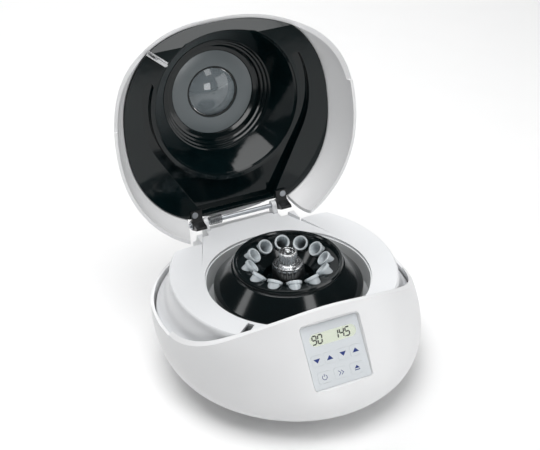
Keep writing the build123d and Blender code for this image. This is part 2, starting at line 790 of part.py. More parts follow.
def rotor():
    """Fixed angle rotor: skirt, rim, slanted holes and the well round the hub."""
    low = ROTOR_BOTTOM_Z
    top = ROTOR_TOP_Z
    wide = ROTOR_RADIUS
    rim = RIM_RADIUS
    throat = rim - 3.6
    body = turned([
        (cone_radius(low) + CONE_FIT, low),
        (14.0, low),
        (15.0, low + 7.5),
        (24.0, low + 7.5),
        (38.0, low + 4.0),
        (wide - 9.0, low + 2.0),
        (wide - 3.0, low + 2.5),
        (wide - 0.6, low + 5.0),
        (wide, low + 8.0),
        (wide, low + 14.6),
        (wide - 0.8, low + 16.0),
        (rim + 1.4, top - 4.4),
        (rim, top - 4.0),
        (rim, top - 1.4),
        (rim - 0.8, top),
        (throat + 0.9, top),
        (throat, top - 1.0),
        (throat - 0.4, LEDGE_Z),
        (LEDGE_RADIUS, LEDGE_Z),
        (LEDGE_RADIUS - 12.0, LEDGE_Z - 12.0),
        (20.4, 76.0),
        (18.5, top - 24.8),
        (15.6, top - 23.4),
        (14.4, HUB_TOP_Z - 0.8),
        (13.6, HUB_TOP_Z),
        (cone_radius(HUB_TOP_Z) + CONE_FIT, HUB_TOP_Z),
    ])
    for k in range(TUBE_COUNT):
        body = body - tube_place(k) * tube_hole()
    return body


def rotor_nut():
    """Knurled disc with a plain boss on top, three spanner holes and a blind bore."""
    disc = turned([
        (0, HUB_TOP_Z),
        (NUT_RADIUS - 1.0, HUB_TOP_Z),
        (NUT_RADIUS, HUB_TOP_Z + 1.0),
        (NUT_RADIUS, NUT_DISC_TOP_Z - 2.2),
        (NUT_RADIUS - 1.6, NUT_DISC_TOP_Z - 0.6),
        (NUT_RADIUS - 2.4, NUT_DISC_TOP_Z),
        (NUT_BOSS_RADIUS, NUT_DISC_TOP_Z),
        (NUT_BOSS_RADIUS, NUT_TOP_Z - 0.8),
        (NUT_BOSS_RADIUS - 0.8, NUT_TOP_Z),
        (0, NUT_TOP_Z),
    ])
    for k in range(NUT_GROOVES):
        groove = Rot(0, 0, 360 / NUT_GROOVES * k) * Pos(NUT_RADIUS + 0.1, 0, 0)
        disc = disc - groove * rod(0, 0, HUB_TOP_Z - 1, NUT_DISC_TOP_Z - 2.4, 0.5)
    for k in range(3):
        hole = Rot(0, 0, 120 * k + 90) * Pos(NUT_BOSS_RADIUS * 0.52, 0, 0)
        disc = disc - hole * rod(0, 0, NUT_TOP_Z - 3, NUT_TOP_Z + 1, 1.2)
    return disc - rod(0, 0, 0, NUT_TOP_Z - 4.6, SHAFT_R + 0.03)


def base_plate():
    low = FLOOR_Z - PLATE_THICK
    plate = Pos(0, 0, low) * extrude(Ellipse(PLATE_HALF_WIDTH, PLATE_HALF_DEPTH), PLATE_THICK)
    for x, y in BOARD_POSTS:
        plate = plate + rod(x, y, FLOOR_Z - 0.1, POWER_BOARD_Z, 3.0)
    for x, y in PLATE_SCREWS:
        plate = plate - rod(x, y, 0, FLOOR_Z + 1, SCREW_RADIUS + 0.2)
    for x, y in FEET:
        plate = plate - rod(x, y, 0, FLOOR_Z + 1, FOOT_STEM + SCREW_FIT)
    return plate


FEET = [(sx * FOOT_X, sy * FOOT_Y) for sx in (-1, 1) for sy in (-1, 1)]
FOOT_STEM = 3.0
POWER_BOARD_Z = 9.0
BOARD_POSTS = [(-26.0, 52.0), (26.0, 52.0), (0.0, 64.0)]


def feet():
    """Rubber feet: a tapered pad with a stem through the base plate."""
    low = FLOOR_Z - PLATE_THICK
    pad = turned([
        (0, 0),
        (FOOT_RADIUS - 0.8, 0),
        (FOOT_RADIUS, 0.8),
        (FOOT_RADIUS - 0.5, low),
        (FOOT_STEM, low),
        (FOOT_STEM, FLOOR_Z + 2.0),
        (0, FLOOR_Z + 2.0),
    ])
    return group([Pos(x, y, 0) * pad for x, y in FEET])


def power_supply():
    """Power board on the base plate's posts, with its tall parts."""
    top = POWER_BOARD_Z + BOARD_THICK
    parts["power_board"] = block(-34.0, 34.0, 47.0, 70.0, POWER_BOARD_Z, top)
    cans = [rod(x, 58.5, top, top + 24.0, 8.0) for x in (-22.0, -3.0)]
    rims = [can.edges().filter_by(GeomType.CIRCLE).sort_by(Axis.Z)[-1] for can in cans]
    parts["power_capacitors"] = group([fillet(rim, 1.0) for rim in rims])
    core = block(9.0, 31.0, 49.0, 68.0, top, top + 17.0)
    winding = block(12.0, 28.0, 51.0, 66.0, top + 3.0, top + 19.0)
    parts["power_transformer"] = core + winding


def rear_fittings():
    """Mains inlet with its three blades, and the mains switch with its rocker."""
    face = REAR_PANEL_Y
    z = REAR_PANEL_Z
    wide, high = (v / 2 for v in INLET_BODY)
    x = INLET_X
    inlet = block(x - wide, x + wide, face - 20.0, face + 0.5, z - high, z + high)
    flange = block(x - wide - 2.5, x + wide + 2.5, face, face + 2.2, z - high - 2.2, z + high + 2.2)
    inlet = inlet + flange
    socket = block(x - 12.2, x + 12.2, face - 13.0, face + 5.0, z - 8.4, z + 8.4)
    inlet = inlet - socket
    for dx, dz in ((-7.0, -2.0), (0.0, 2.0), (7.0, -2.0)):
        inlet = inlet + block(x + dx - 1.0, x + dx + 1.0, face - 14.0, face - 1.0, z + dz - 2.0, z + dz + 2.0)
    parts["mains_inlet"] = inlet
    x = SWITCH_X
    wide, high = (v / 2 for v in SWITCH_BODY)
    box = block(x - wide, x + wide, face - 17.0, face + 0.5, z - high, z + high)
    rim = block(x - wide - 1.6, x + wide + 1.6, face, face + ROCKER_RIM, z - high - 1.6, z + high + 1.6)
    room = ROCKER_RADIUS + SEAM
    box = box + rim - block(x - ROCKER_HALF - SEAM, x + ROCKER_HALF + SEAM, face - 9.0, face + 5.0, z - room, z + room)
    parts["mains_switch"] = box
    disc = cross_rod(x - ROCKER_HALF, x + ROCKER_HALF, ROCKER_Y, z, ROCKER_RADIUS)
    keep = block(x - 10, x + 10, ROCKER_Y - 2.0, ROCKER_Y + ROCKER_FACE, z - 20, z + 20)
    turn = Pos(0, ROCKER_Y, z) * Rot(-ROCKER_TILT, 0, 0) * Pos(0, -ROCKER_Y, -z)
    cheeks = cross_rod(x - ROCKER_HALF - SEAM + 0.05, x + ROCKER_HALF + SEAM - 0.05, ROCKER_Y, z, 1.2)
    parts["mains_rocker"] = turn * (disc & keep) + cheeks


ROCKER_RIM = 1.5
ROCKER_HALF = 4.8
ROCKER_FACE = 4.8
ROCKER_Y = REAR_PANEL_Y + ROCKER_RIM - ROCKER_FACE + 0.8


def key_panel():
    """Film, display, keys, and the board with its switches behind the bed."""
    film = panel_block(0, 0, FILM_WIDTH, FILM_HEIGHT, -FILM_THICK, 0.0, FILM_CORNER - FILM_MARGIN)
    film = film - lcd_outline(0.0, -2.0, 1.0)
    for hole in key_holes(-2.0, 1.0):
        film = film - hole
    parts["keypad_film"] = film
    parts["display_window"] = lcd_outline(-0.15, LCD_SEAT, -0.1)
    back = BED_BACK - 0.9
    glass = panel_block(LCD_ACROSS, LCD_UP, LCD_WIDTH + 3.4, LCD_HEIGHT + 3.0, back, LCD_SEAT)
    pins = panel_block(LCD_ACROSS, BOARD_UP + BOARD_HEIGHT / 2 - 2.0, 36.0, 1.6, BOARD_FRONT, back)
    parts["display_module"] = glass + pins
    parts["control_board"] = panel_block(
        0, BOARD_UP, BOARD_WIDTH, BOARD_HEIGHT, BOARD_FRONT - BOARD_THICK, BOARD_FRONT
    )
    legs = []
    for dx in (-BOARD_WIDTH / 2 + 1.9, BOARD_WIDTH / 2 - 1.9):
        for dy in (-BOARD_HEIGHT / 2 + 3, BOARD_HEIGHT / 2 - 3):
            legs.append(panel_block(dx, BOARD_UP + dy, 3.4, 4.0, BOARD_FRONT, BED_BACK))
    parts["board_spacers"] = group(legs)
    switches = []
    flange_back = BED_BACK - 0.9
    stem_back = flange_back - 0.6
    switch_top = stem_back - KEY_TRAVEL - 0.1
    for name, across, up, (wide, high) in KEYS:
        cap = panel_block(across, up, wide, high, BED_BACK - 0.1, KEY_PROUD, KEY_CORNER)
        flange = panel_block(
            across, up, wide + 2 * KEY_FLANGE, high + 2 * KEY_FLANGE, flange_back, BED_BACK - 0.1, KEY_CORNER
        )
        stem = extrude(PANEL * Pos(across, up, stem_back) * Circle(STEM_RADIUS), flange_back - stem_back, dir=PANEL_OUT)
        parts[name] = cap + flange + stem
        switches.append(
            panel_block(across, up, SWITCH_SIZE, SWITCH_SIZE, BOARD_FRONT, switch_top - 0.8)
            + extrude(PANEL * Pos(across, up, switch_top - 0.8) * Circle(STEM_RADIUS), 0.8, dir=PANEL_OUT)
        )
    parts["key_switches"] = group(switches)


BOARD_WIDTH = 54.0
BOARD_HEIGHT = 40.0
BOARD_UP = -6.0


def latch():
    """Bolt, its solenoid and their frame under the deck, and the lid switch."""
    deck = DECK_Z - DECK_THICK
    low = BOLT_Z - 11.0
    wide = BOLT_WIDTH / 2
    high = BOLT_HEIGHT / 2
    near = 4.0
    far = near + 1.2
    tail = -27.0
    inner = -6.4
    outer = 8.0
    frame = block(inner, outer, near, far, low, deck) + block(inner, outer, -far, -near, low, deck)
    frame = frame + block(inner, outer, tail, far, low, low + 1.2)
    frame = frame - block(
        -wide - BOLT_FIT, wide + BOLT_FIT, -10, 10, BOLT_Z - high - BOLT_FIT, BOLT_Z + high + BOLT_FIT
    )
    parts["latch_frame"] = LATCH * frame
    nose = -TONGUE_THICK / 2 - 0.6
    bolt = block(-wide, wide, nose - 18.0, nose, BOLT_Z - high, BOLT_Z + high)
    parts["latch_bolt"] = LATCH * bolt
    coil = block(inner, outer - 3.5, tail, -far - 3.0, low + 1.2, deck - 2.5)
    coil = coil - block(
        -wide - BOLT_FIT, wide + BOLT_FIT, nose - 20.0, 0, BOLT_Z - high - BOLT_FIT, BOLT_Z + high + BOLT_FIT
    )
    parts["latch_solenoid"] = LATCH * coil
    sensor = block(-4.0, 6.0, far, far + 6.0, low + 4.0, deck - 3.0)
    parts["lid_switch"] = LATCH * (sensor + block(-1.0, 1.0, far + 2.0, far + 4.0, deck - 3.0, deck - 1.8))


def recess_plan(grow):
    """Plan of the liner's recess: a ring groove that runs on to the hinge."""
    radius = GROOVE_RADIUS + grow
    corner = (RECESS_END_X + grow, RECESS_END_Y + grow)
    distance = math.hypot(*corner)
    turn = math.atan2(corner[1], corner[0]) - math.acos(radius / distance)
    touch = (radius * math.cos(turn), radius * math.sin(turn))
    neck = Polyline((-touch[0], touch[1]), touch, corner, (-corner[0], corner[1]), close=True)
    plan = Circle(radius) - Pos(0, GROOVE_END_Y - FAR) * Rectangle(4 * FAR, 2 * FAR)
    plan = plan + make_face(neck)
    middle = (GROOVE_RADIUS + LIP_RADIUS) / 2
    across = math.sqrt(middle**2 - GROOVE_END_Y**2)
    for side in (-1, 1):
        plan = plan + Pos(side * across, GROOVE_END_Y) * Circle(radius - middle)
    return plan


def recess(grow):
    """The recess as a solid, up to its sloping floor."""
    low = DECK_Z - 10
    start = GROOVE_END_Y - 20
    end = RECESS_END_Y + 20
    base = LINER_Z + RECESS_START + grow
    side = [
        (start, low),
        (end, low),
        (end, base + RECESS_SLOPE * (end - GROOVE_END_Y)),
        (start, base + RECESS_SLOPE * (start - GROOVE_END_Y)),
    ]
    column = Pos(0, 0, low) * extrude(recess_plan(grow), 60)
    return column & side_plate(side, -FAR, FAR)


LINER_Z = DECK_Z + LINER_GAP


def lid_liner():
    """Black inner moulding: flat border, sloped front, groove, funnel and stepped throat."""
    low = LINER_Z - 20
    wall = LINER_WALL
    face = RING_FACE_Z
    throat = [
        (0, low),
        (MOUTH_RADIUS, low),
        (MOUTH_RADIUS, LINER_Z + 1.5),
        (MOUTH_RADIUS - 1.5, LINER_Z + 2.5),
        (50.5, face - 14.5),
        (49.2, face - 14.1),
        (48.4, face - 11.0),
        (46.8, face - 10.6),
        (46.0, face - 7.5),
        (44.2, face - 7.1),
        (43.4, face - 3.3),
        (41.8, face - 2.7),
        (38.4, face - 2.1),
        (37.2, face),
        (0, face),
    ]
    funnel = [
        (0, low),
        (MOUTH_RADIUS + wall + 0.5, low),
        (MOUTH_RADIUS + wall + 0.5, LINER_Z + 2.2),
        (MOUTH_RADIUS + 0.7, LINER_Z + 4.0),
        (50.5 + wall + 0.3, face - 12.9),
        (48.4 + wall + 0.4, face - 9.1),
        (46.0 + wall + 0.4, face - 5.5),
        (43.4 + wall + 0.6, face - 0.9),
        (39.4, face + wall),
        (0, face + wall),
    ]
    air_slope = side_plate(
        [(CREASE_Y, LINER_Z), (CREASE_Y, low), (-FAR, low), (-FAR, LINER_Z + FAR + CREASE_Y)], -FAR, FAR
    )
    back_edge = CREASE_Y + wall * 0.42
    wall_slope = side_plate(
        [(back_edge, LINER_Z + wall), (back_edge, low), (-FAR, low), (-FAR, LINER_Z + wall + FAR + back_edge)],
        -FAR, FAR,
    )
    outer = block(-FAR, FAR, -FAR, FAR, low, LINER_Z + wall) + wall_slope + recess(wall) + turned(funnel)
    lip = rod(0, 0, low - 1, FAR, LIP_RADIUS)
    inner = block(-FAR, FAR, -FAR, FAR, low - 1, LINER_Z) + (recess(0.0) - lip) + air_slope + turned(throat)
    liner = (outer - inner) & egg(WALL + LINER_SIDE_GAP)
    liner = liner - block(-FAR, FAR, RECESS_END_Y + wall + 0.3, FAR, 0, FAR)
    liner = liner - rod(0, 0, face - 1, FAR, WINDOW_RADIUS + WINDOW_FIT)
    for x in (-ARM_X, ARM_X):
        liner = liner - rod(x, ARM_SCREW_Y, low, FAR, SCREW_RADIUS + 0.1)
    return liner


def lid_shell():
    """White outer lid, cut out behind for the hinge, with two bosses for the arm screws."""
    bosses = [
        rod(x, ARM_SCREW_Y, LINER_Z + LINER_WALL, FAR, ARM_BOSS_RADIUS) for x in (-ARM_X, ARM_X)
    ]
    shell = (egg() - (egg(WALL) - bosses)) & above_edge(LID_GAP)
    low = REAR_RIM_Z - 6
    cut = [
        (-60.0, low),
        (60.0, low),
        (CUT_HALF_WIDTH, HINGE_Z),
        (CUT_HALF_WIDTH, CUT_TOP_Z),
        (-CUT_HALF_WIDTH, CUT_TOP_Z),
        (-CUT_HALF_WIDTH, HINGE_Z),
    ]
    outline = make_face(Polyline(*[(x, 0, z) for x, z in cut], close=True))
    gap = Pos(0, ARM_SCREW_Y + ARM_BOSS_RADIUS + 0.1, 0) * extrude(outline, FAR, dir=(0, 1, 0))
    shell = shell - gap
    for x in (-ARM_X, ARM_X):
        shell = shell - rod(x, ARM_SCREW_Y, 0, ARM_SCREW_TIP_Z + 0.6, SCREW_RADIUS + SCREW_FIT)
    return shell - rod(0, 0, RING_FACE_Z - 2, FAR, WINDOW_RADIUS + WINDOW_FIT)


CUT_HALF_WIDTH = NOTCH_OUTER_X + 1.5
CUT_TOP_Z = 93.0
ARM_SCREW_TIP_Z = 92.0
PAD_Z = LINER_Z - 2.5


def ball(rim_radius, rim_z, pole_z):
    """The ball whose surface passes through a rim circle and a pole on the axis."""
    rise = pole_z - rim_z
    radius = (rim_radius**2 + rise**2) / (2 * abs(rise))
    return Pos(0, 0, pole_z - math.copysign(radius, rise)) * Sphere(radius)


def window():
    """Clear lens that bulges down into the lid, and the ring under it."""
    r = WINDOW_RADIUS
    low = RING_FACE_Z - 4.8
    seat = RING_FACE_Z + 0.2
    top = BODY_HEIGHT - 2.6
    crown_z = BODY_HEIGHT - 0.4
    parts["lid_window"] = rod(0, 0, low, crown_z, r) & ball(r, seat, low) & ball(r, top, crown_z)
    parts["window_ring"] = turned([
        (r + WINDOW_FIT, RING_FACE_Z),
        (r + WINDOW_FIT, RING_FACE_Z - 0.9),
        (r + WINDOW_FIT + 0.6, RING_FACE_Z - 1.4),
        (r + 2.6, RING_FACE_Z - 1.0),
        (r + 3.2, RING_FACE_Z),
    ])


def striker():
    """Bright strip on the liner with a tongue that the latch bolt passes through."""
    thick = LINER_GAP - 0.2
    strip = block(STRIP_INNER, STRIP_OUTER, -STRIP_WIDTH / 2, STRIP_WIDTH / 2, LINER_Z - thick, LINER_Z)
    start = -6.0
    tongue = block(start, start + TONGUE_LENGTH, -TONGUE_THICK / 2, TONGUE_THICK / 2, TONGUE_TIP_Z, LINER_Z)
    eye = block(
        -BOLT_WIDTH / 2 - 2 * BOLT_FIT, BOLT_WIDTH / 2 + 2 * BOLT_FIT, -5, 5,
        BOLT_Z - BOLT_HEIGHT / 2 - 2 * BOLT_FIT, BOLT_Z + BOLT_HEIGHT / 2 + 2 * BOLT_FIT,
    )
    return LATCH * (Pos(-0.75, 0, 0) * (strip + tongue) - eye)


def hinge():
    """Shaft, clips, spring and the two arms with their claws and screws."""
    end_x = NOTCH_OUTER_X + 1.2
    parts["hinge_shaft"] = cross_rod(-end_x, end_x, HINGE_Y, HINGE_Z, SHAFT_RADIUS)
    clip_x = ARM_INNER_X + ARM_WIDTH + 0.2
    clip = cross_rod(clip_x, clip_x + 0.7, HINGE_Y, HINGE_Z, SHAFT_RADIUS + 1.8)
    clip = clip - cross_rod(clip_x - 1, clip_x + 2, HINGE_Y, HINGE_Z, SHAFT_RADIUS + 0.02)
    parts["hinge_clips"] = group(both_sides(clip))
    side = [
        (92.0, LINER_Z),
        (92.0, PAD_Z),
        (98.6, PAD_Z),
        (HINGE_Y - 3.6, HINGE_Z - 3.4),
        (HINGE_Y - 1.8, HINGE_Z - CLAW_REACH + 0.8),
        (HINGE_Y + 0.6, HINGE_Z - CLAW_REACH + 0.2),
        (HINGE_Y + 4.2, HINGE_Z - 2.0),
        (HINGE_Y + 2.0, HINGE_Z + 4.1),
        (HINGE_Y - 2.0, HINGE_Z + 4.1),
        (99.8, LINER_Z),
    ]
    arm = side_plate(side, ARM_INNER_X, ARM_INNER_X + ARM_WIDTH)
    arm = arm + cross_rod(ARM_INNER_X, ARM_INNER_X + ARM_WIDTH, HINGE_Y, HINGE_Z, KNUCKLE_RADIUS)
    arm = arm - cross_rod(ARM_INNER_X - 1, ARM_INNER_X + ARM_WIDTH + 1, HINGE_Y, HINGE_Z, SHAFT_RADIUS + SHAFT_FIT)
    arm = arm - rod(ARM_X, ARM_SCREW_Y, 0, FAR, SCREW_RADIUS + 0.1)
    arm = arm - rod(ARM_X, ARM_SCREW_Y, 0, PAD_Z + 1.0, SCREW_HEAD + 0.1)
    right, left = both_sides(arm)
    parts["hinge_arm_right"] = right
    parts["hinge_arm_left"] = left
    parts["hinge_arm_screws"] = group([
        screw(x, ARM_SCREW_Y, PAD_Z + 1.0, ARM_SCREW_TIP_Z, thick=1.0) for x in (-ARM_X, ARM_X)
    ])


SPRING_WIRE = 1.1
SPRING_RADIUS = 3.4
SPRING_TURNS = 7
SPRING_PITCH = 1.65
SPRING_END_X = -17.5
SPRING_LEG = 4.0


def biarc(start, start_dir, end, end_dir):
    """Two arcs that join two points with given directions."""
    span = end - start
    both = start_dir + end_dir
    a = 2 * (start_dir.dot(end_dir) - 1)
    b = -2 * span.dot(both)
    c = span.dot(span)
    reach = (-b - math.sqrt(b * b - 4 * a * c)) / (2 * a)
    first = start + start_dir * reach
    second = end - end_dir * reach
    joint = (first + second) / 2
    middle_dir = (second - first).normalized()
    return [
        TangentArc(start, joint, tangent=start_dir),
        TangentArc(joint, end, tangent=middle_dir),
    ]


def hinge_spring():
    """Torsion spring wound round the hinge shaft, one unbroken wire with two legs."""
    step = math.pi / 2
    count = SPRING_TURNS * 4 + 1
    lead = SPRING_PITCH / (2 * math.pi)
    size = math.hypot(SPRING_RADIUS, lead)

    def at(k):
        turn = step * k
        x = SPRING_END_X - lead * turn
        place = Vector(x, HINGE_Y + SPRING_RADIUS * math.cos(turn), HINGE_Z + SPRING_RADIUS * math.sin(turn))
        way = Vector(-lead, -SPRING_RADIUS * math.sin(turn), SPRING_RADIUS * math.cos(turn)) / size
        return place, way

    places = [at(k) for k in range(count + 1)]
    first, first_dir = places[0]
    last, last_dir = places[-1]
    edges = [Line(first - first_dir * 1.5, first)]
    for (p, d), (q, e) in zip(places, places[1:]):
        edges += biarc(p, d, q, e)
    edges.append(Line(last, last + last_dir * SPRING_LEG))
    path = Wire([edge for line in edges for edge in line.edges()])
    start = first - first_dir * 1.5
    section = Plane(origin=start, z_dir=first_dir) * Circle(SPRING_WIRE / 2)
    wire = sweep(section, path=path)
    length = sum(edge.length for line in edges for edge in line.edges())
    share = wire.volume / (math.pi * (SPRING_WIRE / 2) ** 2 * length)
    print("spring gap between turns", round(SPRING_PITCH - SPRING_WIRE, 3), "volume share", round(share, 4))
    return wire


parts["base_shell"] = base_shell()
parts["base_plate"] = base_plate()
parts["rubber_feet"] = feet()
parts["base_screws"] = group([screw(x, y, FLOOR_Z - PLATE_THICK, BOSS_TOP_Z - 2) for x, y in PLATE_SCREWS])
parts["housing_screws"] = group([screw(x, y, HOUSING_HEAD_Z, HOUSING_TIP_Z, thick=2.0) for x, y in HOUSING_SCREWS])
parts["top_housing"] = top_housing()
parts["rotor_bowl"] = rotor_bowl()
parts["shaft_seal"] = shaft_seal()
motor()
power_supply()
rear_fittings()
key_panel()
latch()
parts["drive_cone"] = drive_cone()
parts["rotor"] = rotor()
parts["rotor_nut"] = rotor_nut()
parts["sample_tubes"] = group([tube_place(k) * tube() for k in range(TUBE_COUNT)])
hinge()
parts["hinge_spring"] = hinge_spring()
parts["lid_shell"] = lid_shell()
parts["lid_liner"] = lid_liner()
window()
parts["striker"] = striker()

LID_PARTS = (
    "lid_shell", "lid_liner", "lid_window", "window_ring", "striker",
    "hinge_arm_left", "hinge_arm_right", "hinge_arm_screws",
)
hinge_frame = Pos(0, HINGE_Y, HINGE_Z)
opened = hinge_frame * Rot(-LID_OPEN, 0, 0) * Pos(0, -HINGE_Y, -HINGE_Z)
for name in LID_PARTS:
    parts[name] = opened * parts[name]

boxes = [shape.bounding_box() for shape in parts.values()]
low_y = min(box.min.Y for box in boxes)
high_y = max(box.max.Y for box in boxes)
home = Pos(0, -(low_y + high_y) / 2, 0)
for name, shape in parts.items():
    export_step(home * shape, f"parts/{name}.step")

print("nodes", len(parts), "front", round(low_y, 2), "back", round(high_y, 2))
print("height", round(max(box.max.Z for box in boxes), 2), "shift", round(-(low_y + high_y) / 2, 3))
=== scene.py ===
# %% [markdown]
# # Dressing a mini centrifuge
# The solids of this small laboratory centrifuge come from a CAD source and are loaded as a
# fixed frame. This lesson gives them the finishes of the real machine, makes the few pieces
# that need finer shapes than the solids have, and lights the result for a picture.

import json
import math

import bmesh
import bpy
from mathutils import Matrix, Vector


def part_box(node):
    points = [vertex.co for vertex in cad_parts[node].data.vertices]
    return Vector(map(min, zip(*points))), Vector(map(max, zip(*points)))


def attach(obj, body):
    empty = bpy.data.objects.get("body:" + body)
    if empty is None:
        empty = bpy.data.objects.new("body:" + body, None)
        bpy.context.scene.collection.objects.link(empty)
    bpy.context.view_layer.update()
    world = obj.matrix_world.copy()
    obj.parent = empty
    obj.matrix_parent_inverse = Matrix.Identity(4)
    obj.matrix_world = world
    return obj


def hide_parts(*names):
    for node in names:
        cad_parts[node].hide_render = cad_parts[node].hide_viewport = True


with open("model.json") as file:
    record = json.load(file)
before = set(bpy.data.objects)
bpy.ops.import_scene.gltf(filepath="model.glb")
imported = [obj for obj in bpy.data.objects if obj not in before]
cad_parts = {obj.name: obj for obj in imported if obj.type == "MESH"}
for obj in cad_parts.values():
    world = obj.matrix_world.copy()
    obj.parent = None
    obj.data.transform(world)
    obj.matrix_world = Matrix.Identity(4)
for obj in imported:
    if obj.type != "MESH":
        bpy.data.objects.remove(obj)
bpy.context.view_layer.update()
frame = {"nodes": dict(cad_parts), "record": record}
nodes = frame["nodes"]
MM = 0.001

# %% [markdown]
# The scene is in metres, but a machine like this is drawn in millimetres, so sizes are
# written in millimetres and multiplied by MM. The rotor turns about an upright axis whose
# place is read from the rotor's own solid. The key panel is a flat slope in front of it. It
# is described by the middle of its lower edge, the middle of its upper edge, and three
# directions: across, up the slope and outward.

# %% Find the rotor's axis and the frame of the key panel
rotor_low, rotor_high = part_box("rotor")
AXIS_Y = (rotor_low.y + rotor_high.y) / 2
PANEL_LOW = Vector((0, AXIS_Y - 105.0 * MM, 44.9 * MM))
PANEL_HIGH = Vector((0, AXIS_Y - 75.4 * MM, 86.5 * MM))
PANEL_MIDDLE = (PANEL_LOW + PANEL_HIGH) / 2
PANEL_UP = (PANEL_HIGH - PANEL_LOW).normalized()
PANEL_ACROSS = Vector((1, 0, 0))
PANEL_OUT = PANEL_ACROSS.cross(PANEL_UP)
print("rotor axis at y", round(AXIS_Y, 5), "panel faces", [round(v, 3) for v in PANEL_OUT])

# %% [markdown]
# ## Colours and shader nodes
# Colours are given as screen values, while the renderer works in linear light, so one
# function turns a hex code into linear numbers. A second small function adds any shader node,
# sets its options and fills or links its inputs, which keeps each finish short enough to read
# as a recipe. Every finish reads Object coordinates, which here are plain metres.


# %% Helpers for finishes
def hex_colour(code):
    """Opaque linear colour from an sRGB hex code such as 'E6E6E8'."""
    values = [int(code[k : k + 2], 16) / 255 for k in (0, 2, 4)]
    linear = [v / 12.92 if v <= 0.04045 else ((v + 0.055) / 1.055) ** 2.4 for v in values]
    return (*linear, 1.0)


def add(tree, kind, inputs=None, **options):
    """Adds a node; an input takes a number, a colour, or an output socket to link from."""
    made = tree.nodes.new(kind)
    for key, value in options.items():
        setattr(made, key, value)
    for key, value in (inputs or {}).items():
        socket = made.inputs[key]
        if isinstance(value, bpy.types.NodeSocket):
            tree.links.new(value, socket)
        else:
            socket.default_value = value
    return made


def finish(name, build):
    """A material whose surface is made by build(tree, place), with place in metres."""
    material = bpy.data.materials.new(name)
    material.use_nodes = True
    tree = material.node_tree
    tree.nodes.clear()
    place = add(tree, "ShaderNodeTexCoord").outputs["Object"]
    surface = build(tree, place)
    add(tree, "ShaderNodeOutputMaterial", {"Surface": surface.outputs[0]})
    return material


def per_metre(size_mm):
    """Texture scale that gives features of about this size."""
    return 1 / (size_mm * MM)


print("hex E6E6E8 is linear", [round(v, 3) for v in hex_colour("E6E6E8")])

# %% [markdown]
# ## Moulded plastics
# The covers are injection-moulded ABS. Such a cover is never one flat colour: its mould was
# spark-eroded to a fine grain of a few tenths of a millimetre, and the colour drifts a little
# where the plastic flowed. The recipe mixes two close colours by a broad cloud, lets the grain
# set both the roughness and a shallow bump, and rounds sharp edges in the shading, because a
# moulded edge is never a perfect corner.


# %% A recipe for moulded plastic
FLOW_MM = 45
PLASTIC_IOR = 1.53
EDGE_SAMPLES = 4


def moulded(light, dark, grain_mm, grain_depth, rough, edge_mm=0.5):
    """Plastic from two hex colours, grain size and depth in mm, and a range of roughness."""
    low_rough, high_rough = rough

    def build(tree, place):
        cloud = add(
            tree, "ShaderNodeTexNoise", {"Vector": place, "Scale": per_metre(FLOW_MM), "Detail": 3}
        )
        tint = add(
            tree, "ShaderNodeMix",
            {"Factor": cloud.outputs["Fac"], "A": hex_colour(light), "B": hex_colour(dark)},
            data_type="RGBA",
        )
        grain = add(
            tree, "ShaderNodeTexNoise", {"Vector": place, "Scale": per_metre(grain_mm), "Detail": 4}
        )
        gloss = add(
            tree, "ShaderNodeMapRange",
            {"Value": grain.outputs["Fac"], "To Min": low_rough, "To Max": high_rough},
        )
        edge = add(tree, "ShaderNodeBevel", {"Radius": edge_mm * MM}, samples=EDGE_SAMPLES)
        bump = add(tree, "ShaderNodeBump", {
            "Height": grain.outputs["Fac"], "Distance": grain_depth * MM, "Strength": 0.35,
            "Normal": edge.outputs["Normal"],
        })
        return add(tree, "ShaderNodeBsdfPrincipled", {
            "Base Color": tint.outputs["Result"], "Roughness": gloss.outputs["Result"],
            "Normal": bump.outputs["Normal"], "IOR": PLASTIC_IOR,
        })

    return build


# Spark-eroded ABS: broad soft highlights that never mirror the room.
white_abs = finish(
    "moulded_white_abs",
    moulded("E8E8E9", "E3E4E5", grain_mm=0.35, grain_depth=0.02, rough=(0.30, 0.40)),
)
# The same plastic on the deck round the rotor, duller, and painted a shade cooler and darker as
# painted shade.
deck_abs_painted_shade = finish(
    "moulded_white_abs_painted_shade",
    moulded("E5E6E8", "DFE1E3", grain_mm=0.35, grain_depth=0.02, rough=(0.32, 0.42)),
)
# Coarsely grained black ABS: it stays dark where it is only seen through a gap.
black_abs = finish(
    "moulded_black_abs",
    moulded("15181A", "101315", grain_mm=0.3, grain_depth=0.05, rough=(0.45, 0.6)),
)
# Ring round the window: the lining's black plastic, painted mid-grey as a painted reflection,
# and smoother than the covers.
grey_painted_reflection = finish(
    "black_abs_painted_grey_reflection",
    moulded("6C7477", "62696C", grain_mm=0.3, grain_depth=0.01, rough=(0.2, 0.28)),
)
print("plastics ready, a 0.35 mm grain is scale", round(per_metre(0.35)))

# %% [markdown]
# The lid's lining is black ABS from a polished mould. It mirrors the studio, so it shows
# bright patches and deep black side by side. Two things keep it from being a perfect mirror:
# a very faint ripple left by shrinkage, and fine dust marks that break up the gloss.


